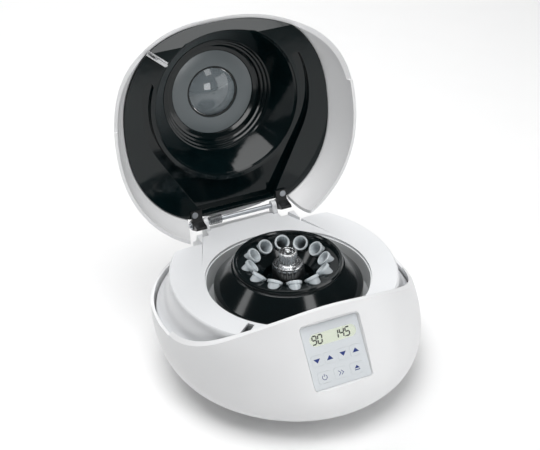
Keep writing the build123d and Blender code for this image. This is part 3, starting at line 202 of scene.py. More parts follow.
# %% Black plastic from a polished mould
def polished_black(tree, place):
    ripple = add(
        tree, "ShaderNodeTexNoise", {"Vector": place, "Scale": per_metre(14), "Detail": 2}
    )
    dust = add(tree, "ShaderNodeTexNoise", {"Vector": place, "Scale": per_metre(1.1), "Detail": 5})
    gloss = add(
        tree, "ShaderNodeMapRange", {"Value": dust.outputs["Fac"], "To Min": 0.05, "To Max": 0.11}
    )
    tint = add(
        tree, "ShaderNodeMix",
        {"Factor": ripple.outputs["Fac"], "A": hex_colour("030B0D"), "B": hex_colour("071517")},
        data_type="RGBA",
    )
    edge = add(tree, "ShaderNodeBevel", {"Radius": 0.6 * MM}, samples=EDGE_SAMPLES)
    bump = add(tree, "ShaderNodeBump", {
        "Height": ripple.outputs["Fac"], "Distance": 0.25 * MM, "Strength": 0.3,
        "Normal": edge.outputs["Normal"],
    })
    return add(tree, "ShaderNodeBsdfPrincipled", {
        "Base Color": tint.outputs["Result"], "Roughness": gloss.outputs["Result"],
        "Normal": bump.outputs["Normal"], "IOR": 1.42,
    })


gloss_black = finish("polished_black_abs", polished_black)
print("lining finish", gloss_black.name)

# %% [markdown]
# ## Metals
# A lathe leaves rings round its axis. The distance from the rotor's axis, fed to a wave
# texture, draws those rings on every turned piece. A slow cloud varies the tone and the gloss
# between them, as handling and polishing do. One recipe serves for all the metal parts, and
# for the enamelled pan, because that was spun on a lathe before it was coated.


# %% A recipe for turned metal
WAVE_LENGTH = math.pi / 10  # one ring of a wave texture, in the texture's own units
HANDLING_MM = 6
COAT_ROUGHNESS = 0.08


def turned_metal(light, dark, ring_mm, ring_depth, rough, metallic, coat, edge_mm=0.4):
    """Metal from two hex colours, ring spacing and depth in mm, and its middle roughness."""

    def build(tree, place):
        moved = add(
            tree, "ShaderNodeMapping", {"Vector": place, "Location": (0, -AXIS_Y, 0)},
            vector_type="POINT",
        )
        rings = add(
            tree, "ShaderNodeTexWave",
            {"Vector": moved.outputs["Vector"], "Scale": per_metre(ring_mm) * WAVE_LENGTH},
            wave_type="RINGS", rings_direction="Z",
        )
        cloud = add(
            tree, "ShaderNodeTexNoise",
            {"Vector": place, "Scale": per_metre(HANDLING_MM), "Detail": 4},
        )
        tint = add(
            tree, "ShaderNodeMix",
            {"Factor": cloud.outputs["Fac"], "A": hex_colour(light), "B": hex_colour(dark)},
            data_type="RGBA",
        )
        gloss = add(
            tree, "ShaderNodeMapRange",
            {"Value": cloud.outputs["Fac"], "To Min": rough * 0.85, "To Max": rough * 1.2},
        )
        edge = add(tree, "ShaderNodeBevel", {"Radius": edge_mm * MM}, samples=EDGE_SAMPLES)
        bump = add(tree, "ShaderNodeBump", {
            "Height": rings.outputs["Fac"], "Distance": ring_depth * MM, "Strength": 0.5,
            "Normal": edge.outputs["Normal"],
        })
        return add(tree, "ShaderNodeBsdfPrincipled", {
            "Base Color": tint.outputs["Result"], "Roughness": gloss.outputs["Result"],
            "Normal": bump.outputs["Normal"], "Metallic": metallic, "Coat Weight": coat,
            "Coat Roughness": COAT_ROUGHNESS,
        })

    return build


print("one ring a millimetre is scale", round(per_metre(1) * WAVE_LENGTH, 1))

# %% [markdown]
# Each metal starts from what it is. The rotor is aluminium under a black anodised skin, a thin
# glassy oxide. The nut is bright stainless steel. Small sheet parts are zinc-plated pressings,
# and the parts inside the body have plainer finishes. The real turning marks are a few
# hundredths of a millimetre apart; they are drawn about ten times coarser, so that they show.

# %% The metals of this machine
# Black oxide over turned aluminium: nearly black, with small bright highlights.
anodised = finish(
    "black_anodised_aluminium",
    turned_metal(
        "0A1517", "060E10", ring_mm=0.8, ring_depth=0.004,
        rough=0.14, metallic=0.15, coat=0.3,
    ),
)
# Bright turned steel: crisp light and dark bands round the nut.
turned_steel = finish(
    "turned_stainless_steel",
    turned_metal(
        "E2E3E4", "D2D4D6", ring_mm=0.5, ring_depth=0.002,
        rough=0.2, metallic=1.0, coat=0.0, edge_mm=0.1,
    ),
)
# The knurl is the same steel, painted darker: painted shade for the shadow in its grooves, and dirt.
knurl_steel_painted_shade = finish(
    "knurled_steel_painted_shade",
    turned_metal(
        "8F9396", "7C8083", ring_mm=0.5, ring_depth=0.002,
        rough=0.34, metallic=1.0, coat=0.0, edge_mm=0.05,
    ),
)
# Zinc plate: pale, and blurred by the crystals of the plating.
zinc_plate = finish(
    "zinc_plated_steel",
    turned_metal(
        "B9BCC0", "A3A7AD", ring_mm=0.6, ring_depth=0.004,
        rough=0.34, metallic=1.0, coat=0.0,
    ),
)
# Enamel on spun sheet: a glaze over faint rings, pale grey and not metallic at all.
bowl_enamel = finish(
    "pale_grey_enamelled_steel",
    turned_metal(
        "EDF0F1", "E6E9EA", ring_mm=1.2, ring_depth=0.003,
        rough=0.3, metallic=0.0, coat=0.0,
    ),
)
# Bare machined aluminium: soft grey with visible tool marks.
plain_aluminium = finish(
    "machined_aluminium",
    turned_metal(
        "C4C6C9", "B5B8BC", ring_mm=0.7, ring_depth=0.01,
        rough=0.32, metallic=1.0, coat=0.0,
    ),
)
# Drawn wire: a darker, streaky steel.
spring_wire = finish(
    "drawn_spring_wire",
    turned_metal(
        "9EA0A2", "85878A", ring_mm=0.4, ring_depth=0.003,
        rough=0.3, metallic=1.0, coat=0.0,
    ),
)
# Black lacquer on steel: dark, with a soft coat over it.
black_steel = finish(
    "black_lacquered_steel",
    turned_metal(
        "17191B", "0E0F11", ring_mm=0.7, ring_depth=0.003,
        rough=0.38, metallic=0.2, coat=0.3,
    ),
)
# Lacquered copper: warm brown-red turns under a clear coat.
copper_wire = finish(
    "lacquered_copper_winding",
    turned_metal(
        "8A4A28", "6E361C", ring_mm=0.6, ring_depth=0.05,
        rough=0.35, metallic=0.9, coat=0.5,
    ),
)
print("metals ready, the last is", copper_wire.name)

# %% [markdown]
# ## Clear and milky plastics
# The lid's window is polished, smoke-tinted polycarbonate. The sample tubes are polypropylene,
# which lets light through but scatters it. Part of the light is transmitted and part of it
# comes back from the body of the plastic, so the transmission stays well under one.


# %% A recipe for see-through plastics
def clear_sheet(colour, rough, ior, transmission):
    """See-through plastic from a hex colour, its middle roughness, IOR and clear share."""

    def build(tree, place):
        haze = add(tree, "ShaderNodeTexNoise", {"Vector": place, "Scale": per_metre(3), "Detail": 3})
        gloss = add(
            tree, "ShaderNodeMapRange",
            {"Value": haze.outputs["Fac"], "To Min": rough * 0.7, "To Max": rough * 1.3},
        )
        return add(tree, "ShaderNodeBsdfPrincipled", {
            "Base Color": hex_colour(colour), "Roughness": gloss.outputs["Result"], "IOR": ior,
            "Transmission Weight": transmission,
        })

    return build


# Polished and tinted: a dark glassy disc with sharp reflections.
polycarbonate = finish(
    "smoked_polycarbonate",
    clear_sheet("6F777B", rough=0.04, ior=1.58, transmission=0.7),
)
# Thin and milky: pale blue-white walls with bright rims.
polypropylene = finish(
    "milky_polypropylene",
    clear_sheet("F3FAFE", rough=0.06, ior=1.6, transmission=0.5),
)
print("clear plastics", polycarbonate.name, polypropylene.name)

# %% [markdown]
# The pane over the display is so thin that it bends no light. A mix of a clear surface and
# a mirror-like one, weighted by Fresnel, gives its reflection without darkening what is
# behind it. A slow smear in the roughness stands for the marks of cleaning.


# %% Thin display pane
def thin_pane(tree, place):
    smear = add(tree, "ShaderNodeTexNoise", {"Vector": place, "Scale": per_metre(8), "Detail": 2})
    gloss = add(
        tree, "ShaderNodeMapRange", {"Value": smear.outputs["Fac"], "To Min": 0.02, "To Max": 0.08}
    )
    clear = add(tree, "ShaderNodeBsdfTransparent", {"Color": hex_colour("F7F9F6")})
    mirror = add(
        tree, "ShaderNodeBsdfAnisotropic",
        {"Color": (1, 1, 1, 1), "Roughness": gloss.outputs["Result"]},
    )
    share = add(tree, "ShaderNodeFresnel", {"IOR": 1.5})
    return add(tree, "ShaderNodeMixShader", {
        0: share.outputs["Fac"], 1: clear.outputs["BSDF"], 2: mirror.outputs["BSDF"],
    })


window_glass = finish("thin_display_pane", thin_pane)
print("display pane", window_glass.name)

# %% [markdown]
# ## Display, film, inks, rubber and boards
# These are all printed or moulded polymers, so the moulded recipe serves for them with other
# grains. The display gets a faint glow of its own, painted light that keeps it bright in the
# shade of its recess. The inks are screen prints: matt, dense and almost without relief.


# %% Glow, film, inks, rubber and board
def add_painted_glow(build, colour, strength):
    """The same surface with a faint painted glow of its own, which keeps it bright in shade."""

    def with_glow(tree, place):
        surface = build(tree, place)
        surface.inputs["Emission Color"].default_value = hex_colour(colour)
        surface.inputs["Emission Strength"].default_value = strength
        return surface

    return with_glow


# Rubber: deep, dull black with a sooty grain.
rubber = finish(
    "moulded_black_rubber",
    moulded("1B1B1D", "121214", grain_mm=0.4, grain_depth=0.08, rough=(0.7, 0.85)),
)
# Polyester film: flat, satin and sharp-edged, because it is cut from a sheet.
film = finish(
    "satin_polyester_film",
    moulded("D6DADD", "D1D6DA", grain_mm=0.25, grain_depth=0.005, rough=(0.36, 0.44), edge_mm=0.1),
)
# Glass-fibre board under green lacquer: an uneven, slightly woven gloss.
laminate = finish(
    "green_board_laminate",
    moulded("1F5A3A", "174A2F", grain_mm=1.2, grain_depth=0.02, rough=(0.3, 0.45)),
)
# Display: an even, slightly warm white, with a painted glow that keeps it bright in the shade of
# its recess.
display_painted_glow = finish(
    "display_with_painted_glow",
    add_painted_glow(moulded("EEEFE8", "E6E8E0", grain_mm=0.3, grain_depth=0.005, rough=(0.3, 0.4)), "F2F2EA", 0.5)
)
# The display's segments and the print on the keys: matt and dense.
black_ink = finish(
    "display_segment_black",
    moulded("060708", "040506", grain_mm=0.4, grain_depth=0.001, rough=(0.5, 0.6)),
)
navy_ink = finish(
    "printed_navy_ink",
    moulded("12307E", "0F2A70", grain_mm=0.4, grain_depth=0.001, rough=(0.5, 0.6)),
)
print("film, rubber, board and inks ready, materials so far", len(bpy.data.materials))

# %% [markdown]
# ## Giving every solid its finish
# The record names a material slot for every solid, so one table from slot to finish dresses
# the whole machine, and no piece can be forgotten. The chamber pan is the one exception: it
# shares its slot with other parts, but its enamel is its own.

# %% Dress the solids
FINISHES = {
    "white_plastic": white_abs,
    "white_inner": deck_abs_painted_shade,
    "black_gloss": gloss_black,
    "rotor_black": anodised,
    "bright_steel": turned_steel,
    "plain_steel": zinc_plate,
    "spring_steel": spring_wire,
    "dark_metal": black_steel,
    "clear_plastic": polycarbonate,
    "tube_plastic": polypropylene,
    "rubber_black": rubber,
    "film_blue": film,
    "display_glass": window_glass,
    "display_grey": display_painted_glow,
    "key_grey": film,
    "board_green": laminate,
    "black_matte": black_abs,
    "copper_core": copper_wire,
    "aluminium_plain": plain_aluminium,
}
slot_of = {row["node"]: row["material_slot"] for row in frame["record"]["subparts"]}
for name, solid in nodes.items():
    solid.data.materials.clear()
    solid.data.materials.append(
        bowl_enamel if name == "rotor_bowl" else FINISHES[slot_of[name]]
    )
print("dressed", len(nodes), "solids from", len(FINISHES), "slots")

# %% [markdown]
# ## Pieces made here
# The solids' own meshes carry smooth normals, so most of them need only their finish. A few
# small things are made again with more shape: the tubes, the nut, the ring round the window,
# the print and the key caps. Each new piece rides on the body it belongs to and hides the
# solid it stands for. Edges sharper than a chosen angle stay crisp, the rest is shaded smooth.


# %% Helpers for new pieces
def settle(mesh, name, material, body, slot, *replaced):
    """Makes a finished piece from a mesh that is already in place."""
    piece = bpy.data.objects.new(name, mesh)
    bpy.context.scene.collection.objects.link(piece)
    mesh.materials.clear()
    mesh.materials.append(material)
    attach(piece, body)
    if replaced:
        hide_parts(*replaced)
    return piece


def smooth(mesh, angle):
    """Smooth shading with edges sharper than the angle, in degrees, kept."""
    for polygon in mesh.polygons:
        polygon.use_smooth = True
    mesh.set_sharp_from_angle(angle=math.radians(angle))


def closed(work, name):
    """Turns a finished bmesh into a mesh with all its faces pointing outwards."""
    bmesh.ops.recalc_face_normals(work, faces=work.faces)
    mesh = bpy.data.meshes.new(name)
    work.to_mesh(mesh)
    work.free()
    return mesh


TO_AXIS = Matrix.Translation((0, AXIS_Y, 0))
print("new pieces are drawn at the origin and moved by", round(AXIS_Y / MM, 2), "mm")

# %% [markdown]
# ## A ring of copies
# Twelve tubes, the knurl on the nut and its three holes are each one shape repeated round an
# axis. Geometry Nodes do this from two numbers. The tree below makes a point for each copy at
# the axis, turns each by its share of a full circle, and places the pattern shape on it. The
# pattern is drawn where the copy at angle zero belongs, so no radius is needed. Realize
# Instances turns the copies into real faces, because the export drops instances.


# %% Build the ring tree
def ring_tree():
    tree = bpy.data.node_groups.new("ring_of_copies", "GeometryNodeTree")
    face = tree.interface
    face.new_socket("Geometry", in_out="INPUT", socket_type="NodeSocketGeometry")
    face.new_socket("Pattern", in_out="INPUT", socket_type="NodeSocketObject")
    face.new_socket("Copies", in_out="INPUT", socket_type="NodeSocketInt")
    face.new_socket("First angle", in_out="INPUT", socket_type="NodeSocketFloat")
    face.new_socket("Finish", in_out="INPUT", socket_type="NodeSocketMaterial")
    face.new_socket("Geometry", in_out="OUTPUT", socket_type="NodeSocketGeometry")
    start = add(tree, "NodeGroupInput").outputs
    points = add(tree, "GeometryNodePoints", {"Count": start["Copies"]})
    step = add(tree, "ShaderNodeMath", {0: 2 * math.pi, 1: start["Copies"]}, operation="DIVIDE")
    index = add(tree, "GeometryNodeInputIndex")
    turn = add(
        tree, "ShaderNodeMath",
        {0: index.outputs[0], 1: step.outputs[0], 2: start["First angle"]},
        operation="MULTIPLY_ADD",
    )
    about_z = add(tree, "ShaderNodeCombineXYZ", {"Z": turn.outputs[0]})
    pattern = add(tree, "GeometryNodeObjectInfo", {"Object": start["Pattern"]})
    copies = add(tree, "GeometryNodeInstanceOnPoints", {
        "Points": points.outputs[0], "Instance": pattern.outputs["Geometry"],
        "Rotation": about_z.outputs[0],
    })
    real = add(tree, "GeometryNodeRealizeInstances", {"Geometry": copies.outputs[0]})
    painted = add(
        tree, "GeometryNodeSetMaterial", {"Geometry": real.outputs[0], "Material": start["Finish"]}
    )
    add(tree, "NodeGroupOutput", {"Geometry": painted.outputs[0]})
    return tree


RING = ring_tree()
print("ring tree", len(RING.nodes), "nodes")

# %% [markdown]
# A tree works through a modifier on some object, here an empty carrier. Its inputs are set by
# their identifiers before the first evaluation. The evaluated result is then copied to a plain
# mesh, and the carrier and the pattern are thrown away, so nothing live is left on a piece.


# %% Bake a ring of copies
def ring_mesh(pattern_mesh, copies, first_angle, material, angle):
    """Bakes a ring of copies of a mesh round the rotor's axis into one plain mesh."""
    pattern = bpy.data.objects.new("pattern", pattern_mesh)
    carrier = bpy.data.objects.new("carrier", bpy.data.meshes.new("carrier"))
    for made in (pattern, carrier):
        bpy.context.scene.collection.objects.link(made)
    modifier = carrier.modifiers.new("ring", "NODES")
    modifier.node_group = RING
    values = {"Pattern": pattern, "Copies": copies, "First angle": first_angle, "Finish": material}
    for item in RING.interface.items_tree:
        if item.in_out == "INPUT" and item.name in values:
            modifier[item.identifier] = values[item.name]
    ready = carrier.evaluated_get(bpy.context.evaluated_depsgraph_get())
    mesh = bpy.data.meshes.new_from_object(ready)
    for made in (carrier, pattern):
        bpy.data.objects.remove(made)
    mesh.transform(TO_AXIS)
    smooth(mesh, angle)
    return mesh


print("ring inputs", [item.name for item in RING.interface.items_tree if item.in_out == "INPUT"])

# %% [markdown]
# ## Turned shapes
# A tube or a nut is a profile spun round an axis. The profile is a list of radius and height
# pairs. Spinning it in code keeps every ring evenly spaced. A point on the axis makes one
# vertex there, so that the pole is closed; a profile that never meets the axis is joined from
# its last point to its first. A Screw modifier could do the same, with less say over the poles.


# %% Spin a closed profile
def spin(profile, steps):
    """A closed turned mesh about Z from (radius, height) pairs in millimetres."""
    work = bmesh.new()
    rings = []
    for radius, height in profile:
        if radius < 1e-6:
            rings.append([work.verts.new((0, 0, height * MM))])
            continue
        ring = []
        for k in range(steps):
            turn = 2 * math.pi * k / steps
            x, y = radius * MM * math.cos(turn), radius * MM * math.sin(turn)
            ring.append(work.verts.new((x, y, height * MM)))
        rings.append(ring)
    pairs = list(zip(rings, rings[1:]))
    if len(rings[0]) > 1:
        pairs.append((rings[-1], rings[0]))
    for low, high in pairs:
        for k in range(steps):
            a, b = low[k % len(low)], low[(k + 1) % len(low)]
            c, d = high[(k + 1) % len(high)], high[k % len(high)]
            corners = [v for n, v in enumerate((a, b, c, d)) if v not in (a, b, c, d)[:n]]
            if len(corners) > 2:
                work.faces.new(corners)
    return closed(work, "spun")


FINE_STEPS, TUBE_STEPS, PIN_STEPS = 96, 40, 20
print("sides: nut and window ring", FINE_STEPS, "tubes", TUBE_STEPS, "pin holes", PIN_STEPS)

# %% [markdown]
# ## Sample tubes
# The tubes are the common 1.5 millilitre kind: a thin polypropylene wall, a straight upper
# part, a cone below and a thick rim that hangs on the rotor. The finer profile adds the
# rounded lip, the step under the rim and the sealing edge inside the mouth. It runs up the
# outside and down the inside. Each tube leans in at 45 degrees, its mouth towards the axis.
# The tubes hang a little deeper in their bores than the solids do, as the photograph shows.

# %% Twelve leaning tubes
TUBE_LENGTH = 39.6
TUBE_OUTER = 5.4
TUBE_INNER = 4.6
TUBE_RIM = 6.5
TUBE_PROFILE = [
    (0, 0), (0.9, 0.05), (1.6, 0.35), (2.0, 0.9), (TUBE_OUTER - 0.08, 16.4), (TUBE_OUTER, 17.2),
    (TUBE_OUTER, 36.9), (6.15, 37.0), (6.4, 37.15), (TUBE_RIM, 37.4), (TUBE_RIM, 39.1),
    (6.42, 39.4), (6.2, TUBE_LENGTH), (5.3, TUBE_LENGTH), (5.0, 39.45), (4.85, 39.1),
    (4.85, 38.2), (TUBE_INNER, 37.7), (TUBE_INNER, 17.3), (4.5, 16.6), (1.3, 2.6), (0.9, 1.8),
    (0.5, 1.5), (0, 1.4),
]
TUBE_COUNT = 12
TUBE_TIP = (57.6 * MM, 0, 69.2 * MM)
LEAN, FIRST_TUBE = math.radians(-45), math.radians(15)
tube_mesh = spin(TUBE_PROFILE, TUBE_STEPS)
tube_mesh.transform(Matrix.Translation(TUBE_TIP) @ Matrix.Rotation(LEAN, 4, "Y"))
tubes = ring_mesh(tube_mesh, TUBE_COUNT, FIRST_TUBE, polypropylene, 35)
settle(tubes, "tubes", polypropylene, "spindle", "tube_plastic", "sample_tubes")
print("tubes", len(tubes.polygons), "faces")

# %% [markdown]
# ## The knurled nut
# Fingers turn this nut, so its rim is knurled with fine upright ridges a little over one
# millimetre apart. A single ridge is a small three-sided prism with sloping ends, and the ring
# tree repeats it. The knurl is a piece of its own, so that it can have its darker finish, which
# is painted shade for its grooves.


# %% Knurl ridges
NUT_RIM = 13.0
RIDGES = 60
RIDGE_SHARE = 0.86  # of the space that one ridge has
RIDGE_ROOT = -0.3
RIDGE_LEVELS = [(84.5, 0.1), (85.3, 0.5), (93.2, 0.5), (94.2, 0.1)]


def ridge_mesh():
    """One upright knurl ridge on the nut's rim, at angle zero."""
    half = NUT_RIM * math.sin(math.pi / RIDGES) * RIDGE_SHARE
    work = bmesh.new()
    rows = []
    for height, proud in RIDGE_LEVELS:
        rows.append([
            work.verts.new(((NUT_RIM + out) * MM, across * MM, height * MM))
            for out, across in ((RIDGE_ROOT, -half), (proud, 0), (RIDGE_ROOT, half))
        ])
    for low, high in zip(rows, rows[1:]):
        for k in range(3):
            n = (k + 1) % 3
            work.faces.new((low[k], low[n], high[n], high[k]))
    work.faces.new(rows[0])
    work.faces.new(rows[-1])
    return closed(work, "ridge")


ridges = ring_mesh(ridge_mesh(), RIDGES, 0, knurl_steel_painted_shade, 10)
print("knurl", len(ridges.polygons), "faces")

# %% [markdown]
# The nut's body is spun from its profile, with a round groove in its top and a boss for the
# fingers. Three small holes in the boss take a pin spanner. They are made as pins and taken
# out of the body with a Boolean modifier, whose result is copied to a plain mesh.

# %% Nut body with three spanner holes
NUT_PROFILE = [
    (3.03, 84.0), (12.4, 84.0), (NUT_RIM, 84.5), (NUT_RIM, 94.2), (12.6, 94.9), (12.6, 95.9),
    (12.3, 96.4), (10.7, 96.5), (10.4, 96.1), (10.2, 95.0), (9.0, 95.0), (8.8, 96.0),
    (8.5, 96.5), (7.7, 96.8), (7.6, 97.2), (7.6, 106.9), (7.4, 107.4), (7.0, 107.6),
    (5.9, 107.6), (5.6, 107.2), (2.6, 107.2), (2.3, 107.0), (2.0, 106.0), (0, 106.0),
    (0, 103.0), (3.03, 103.0),
]
PIN_PROFILE = [(0, 104.0), (0.7, 104.3), (1.2, 104.6), (1.2, 108.5), (0, 108.5)]
PIN_COUNT, PIN_RADIUS, FIRST_PIN = 3, 3.95, math.radians(90)


def carved(mesh, cutter):
    """The mesh with the cutter's shape taken out of it."""
    target = bpy.data.objects.new("target", mesh)
    tool = bpy.data.objects.new("tool", cutter)
    for made in (target, tool):
        bpy.context.scene.collection.objects.link(made)
    cut = target.modifiers.new("cut", "BOOLEAN")
    cut.operation, cut.solver, cut.object = "DIFFERENCE", "EXACT", tool
    ready = target.evaluated_get(bpy.context.evaluated_depsgraph_get())
    result = bpy.data.meshes.new_from_object(ready)
    for made in (target, tool):
        bpy.data.objects.remove(made)
    return result


nut_body = spin(NUT_PROFILE, FINE_STEPS)
nut_body.transform(TO_AXIS)
pin = spin(PIN_PROFILE, PIN_STEPS)
pin.transform(Matrix.Translation((PIN_RADIUS * MM, 0, 0)))
nut = carved(nut_body, ring_mesh(pin, PIN_COUNT, FIRST_PIN, turned_steel, 30))
smooth(nut, 30)
settle(nut, "nut_body", turned_steel, "spindle", "bright_steel", "rotor_nut")
settle(ridges, "nut_knurl", knurl_steel_painted_shade, "spindle", "bright_steel")
print("nut", len(nut.polygons), "faces")

# %% [markdown]
# ## The ring round the window
# A ring frames the lid's window; it is the lining's black plastic, painted grey as a painted
# reflection. It is drawn with the lid closed, where its axis is the rotor's, and then swung
# open about the hinge, which is quicker than drawing it tilted.

# %% Ring on the lid's lining, grey as a painted reflection
HINGE = Vector((0, AXIS_Y + 105.6 * MM, 84.4 * MM))
OPEN = math.radians(-99.3)
RING_PROFILE = [
    (23.6, 121.4), (23.6, 120.7), (24.0, 120.4), (37.8, 120.4), (38.6, 120.6), (38.9, 121.0),
    (38.9, 121.4),
]
window_frame = spin(RING_PROFILE, FINE_STEPS)
swing = Matrix.Translation(HINGE) @ Matrix.Rotation(OPEN, 4, "X") @ Matrix.Translation(-HINGE)
window_frame.transform(swing @ TO_AXIS)
smooth(window_frame, 30)
# The ring's grey is a painted reflection on the lining's black plastic.
settle(window_frame, "window_frame", grey_painted_reflection, "lid", "black_gloss", "window_ring")
ring_low, ring_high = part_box("window_ring")
print("window ring's solid spans", [round(v / MM, 1) for v in ring_high - ring_low], "mm")

# %% [markdown]
# ## Print on the panel
# Print is flat, so each mark is an outline in the panel's own frame, pushed out by a few
# hundredths of a millimetre. Then it lies exactly on its surface, at whatever slope that has.


# %% Flat prints in the panel's frame
def on_panel(across, up, out):
    """A point in the panel's frame, from millimetres across, up the slope and outward."""
    return PANEL_MIDDLE + PANEL_ACROSS * across * MM + PANEL_UP * up * MM + PANEL_OUT * out * MM


def prints(outlines, low, high):
    """Thin prisms from flat outlines, between two depths in millimetres."""
    work = bmesh.new()
    for outline in outlines:
        bottom = [work.verts.new(on_panel(x, y, low)) for x, y in outline]
        top = [work.verts.new(on_panel(x, y, high)) for x, y in outline]
        work.faces.new(bottom)
        work.faces.new(top)
        for k in range(len(outline)):
            n = (k + 1) % len(outline)
            work.faces.new((bottom[k], bottom[n], top[n], top[k]))
    return closed(work, "print")


print("panel middle", [round(v, 4) for v in on_panel(0, 0, 0)])

# %% [markdown]
# The display shows plain numbers, each made of seven slanted bars. A bar is a long hexagon
# between two corners of the digit's frame, with a small gap at each end, so that neighbours
# do not touch. One table says which bars each digit lights.

# %% Seven-bar numbers
SEGMENTS = {"0": "abcdef", "1": "bc", "4": "bcfg", "5": "acdfg", "9": "abcdfg"}
DIGIT_WIDTH, DIGIT_HEIGHT = 3.5, 6.8
BAR, BAR_GAP, SLANT = 1.0, 0.12, 0.14
BASELINE = 10.0
DIGITS = [("9", -17.2), ("0", -12.2), ("1", 2.0), ("4", 7.0), ("5", 12.0)]
POINT = [(11.35, 9.7), (11.95, 9.7), (11.95, 10.3), (11.35, 10.3)]
DISPLAY_FACE, SEGMENT_DEPTH = -1.2, 0.03


def bar_outlines(digit, left, base):
    """The seven-bar outlines of one digit, leaning a little to the right."""
    w, h, t = DIGIT_WIDTH, DIGIT_HEIGHT, BAR / 2
    ends = {
        "a": ((0, h), (w, h)), "g": ((0, h / 2), (w, h / 2)), "d": ((0, 0), (w, 0)),
        "f": ((0, h / 2), (0, h)), "b": ((w, h / 2), (w, h)),
        "e": ((0, 0), (0, h / 2)), "c": ((w, 0), (w, h / 2)),
    }
    outlines = []
    for key in SEGMENTS[digit]:
        (x0, y0), (x1, y1) = ends[key]
        if y0 == y1:
            x0, x1 = x0 + BAR_GAP, x1 - BAR_GAP
            shape = [
                (x0, y0), (x0 + t, y0 - t), (x1 - t, y0 - t), (x1, y0), (x1 - t, y0 + t),
                (x0 + t, y0 + t),
            ]
        else:
            y0, y1 = y0 + BAR_GAP, y1 - BAR_GAP
            shape = [
                (x0, y0), (x0 + t, y0 + t), (x0 + t, y1 - t), (x0, y1), (x0 - t, y1 - t),
                (x0 - t, y0 + t),
            ]
        outlines.append([(left + x + SLANT * y, base + y) for x, y in shape])
    return outlines


numbers = [bar for digit, left in DIGITS for bar in bar_outlines(digit, left, BASELINE)] + [POINT]
settle(
    prints(numbers, DISPLAY_FACE, DISPLAY_FACE + SEGMENT_DEPTH), "display_numbers", black_ink,
    "base", "display_grey",
)
print("display", len(numbers), "marks")

# %% [markdown]
# The display cover is a slot-shaped pane set just under the film, clear of the display below
# it, which gives the real one its depth.


# %% Display cover
def slot_outline(across, up, width, height, steps=16):
    """Outline of a slot with round ends."""
    radius = height / 2
    run = width / 2 - radius
    points = []
    for side, start in ((1, -math.pi / 2), (-1, math.pi / 2)):
        for k in range(steps + 1):
            turn = start + math.pi * k / steps
            points.append(
                (across + side * run + radius * math.cos(turn), up + radius * math.sin(turn))
            )
    return points


COVER_PLACE, COVER_SIZE, COVER_DEPTHS = (1.0, 13.4), (40.7, 9.7), (-0.7, -0.3)
cover = prints([slot_outline(*COVER_PLACE, *COVER_SIZE)], *COVER_DEPTHS)
settle(cover, "display_cover", window_glass, "base", "display_glass", "display_window")
print("display cover", len(cover.vertices), "vertices")

# %% [markdown]
# The keys carry simple pictograms: arrows down and up, a broken ring with a stroke for start
# and stop, a double chevron for a short run, and a triangle over a bar for opening the lid.
# Each is drawn round its own middle, in millimetres.


# %% Key symbols
def ring_outlines(radius, width, start, end, steps=20):
    """A partial ring as small quads, angles in degrees from the right."""
    quads = []
    for k in range(steps):
        a, b = (math.radians(start + (end - start) * n / steps) for n in (k, k + 1))
        inner, outer = radius - width / 2, radius + width / 2
        quads.append([
            (inner * math.cos(a), inner * math.sin(a)), (outer * math.cos(a), outer * math.sin(a)),
            (outer * math.cos(b), outer * math.sin(b)), (inner * math.cos(b), inner * math.sin(b)),
        ])
    return quads


DOWN = [[(-2.9, 1.5), (0, -2.0), (2.9, 1.5)]]
UP = [[(-2.9, -1.7), (0, 1.8), (2.9, -1.7)]]
STROKE = [(-0.25, 0.5), (0.25, 0.5), (0.25, 2.7), (-0.25, 2.7)]
STANDBY = ring_outlines(2.0, 0.5, 125, 415) + [STROKE]
FORWARD = [
    [(-2.4, -1.9), (-1.7, -1.9), (0.2, 0), (-1.7, 1.9), (-2.4, 1.9), (-0.5, 0)],
    [(0, -1.9), (0.7, -1.9), (2.6, 0), (0.7, 1.9), (0, 1.9), (1.9, 0)],
]
EJECT = [
    [(-2.3, -0.4), (2.3, -0.4), (0, 2.1)],
    [(-2.3, -1.9), (2.3, -1.9), (2.3, -1.2), (-2.3, -1.2)],
]
print("standby symbol", len(STANDBY), "outlines")

# %% [markdown]
# The real keys lie under one membrane, so hardly any gap shows round them. Each key gets a
# thin face that nearly fills its opening, and the symbol is printed on that face. The four
# arrow keys stand in the upper row, and the three wider keys in the lower one.


# %% Key faces and their print
def rounded_outline(across, up, width, height, radius, steps=6):
    """Outline of a rectangle with rounded corners."""
    points = []
    for right, top, start in ((1, 1, 0), (-1, 1, 90), (-1, -1, 180), (1, -1, 270)):
        x, y = across + right * (width / 2 - radius), up + top * (height / 2 - radius)
        for k in range(steps + 1):
            turn = math.radians(start + 90 * k / steps)
            points.append((x + radius * math.cos(turn), y + radius * math.sin(turn)))
    return points


UPPER_ROW, LOWER_ROW = -2.6, -16.6
KEY_SIZES = {UPPER_ROW: (9.4, 8.8), LOWER_ROW: (11.4, 9.0)}
KEY_CORNER = 1.6
KEY_BASE, KEY_TOP, INK_DEPTH = -0.35, 0.12, 0.02
KEY_SYMBOLS = [
    ("key_time_down", -17.4, UPPER_ROW, DOWN), ("key_time_up", -6.4, UPPER_ROW, UP),
    ("key_speed_down", 5.4, UPPER_ROW, DOWN), ("key_speed_up", 16.4, UPPER_ROW, UP),
    ("key_start_stop", -14.6, LOWER_ROW, STANDBY), ("key_short_run", -0.3, LOWER_ROW, FORWARD),
    ("key_open", 14.0, LOWER_ROW, EJECT),
]
for key, across, up, shapes in KEY_SYMBOLS:
    face = rounded_outline(across, up, *KEY_SIZES[up], KEY_CORNER)
    settle(prints([face], KEY_BASE, KEY_TOP), key + "_face", film, key, "key_grey")
    moved = [[(across + x, up + y) for x, y in shape] for shape in shapes]
    symbol = prints(moved, KEY_TOP, KEY_TOP + INK_DEPTH)
    settle(symbol, key + "_symbol", navy_ink, key, "key_grey")
print("key faces and symbols", 2 * len(KEY_SYMBOLS))
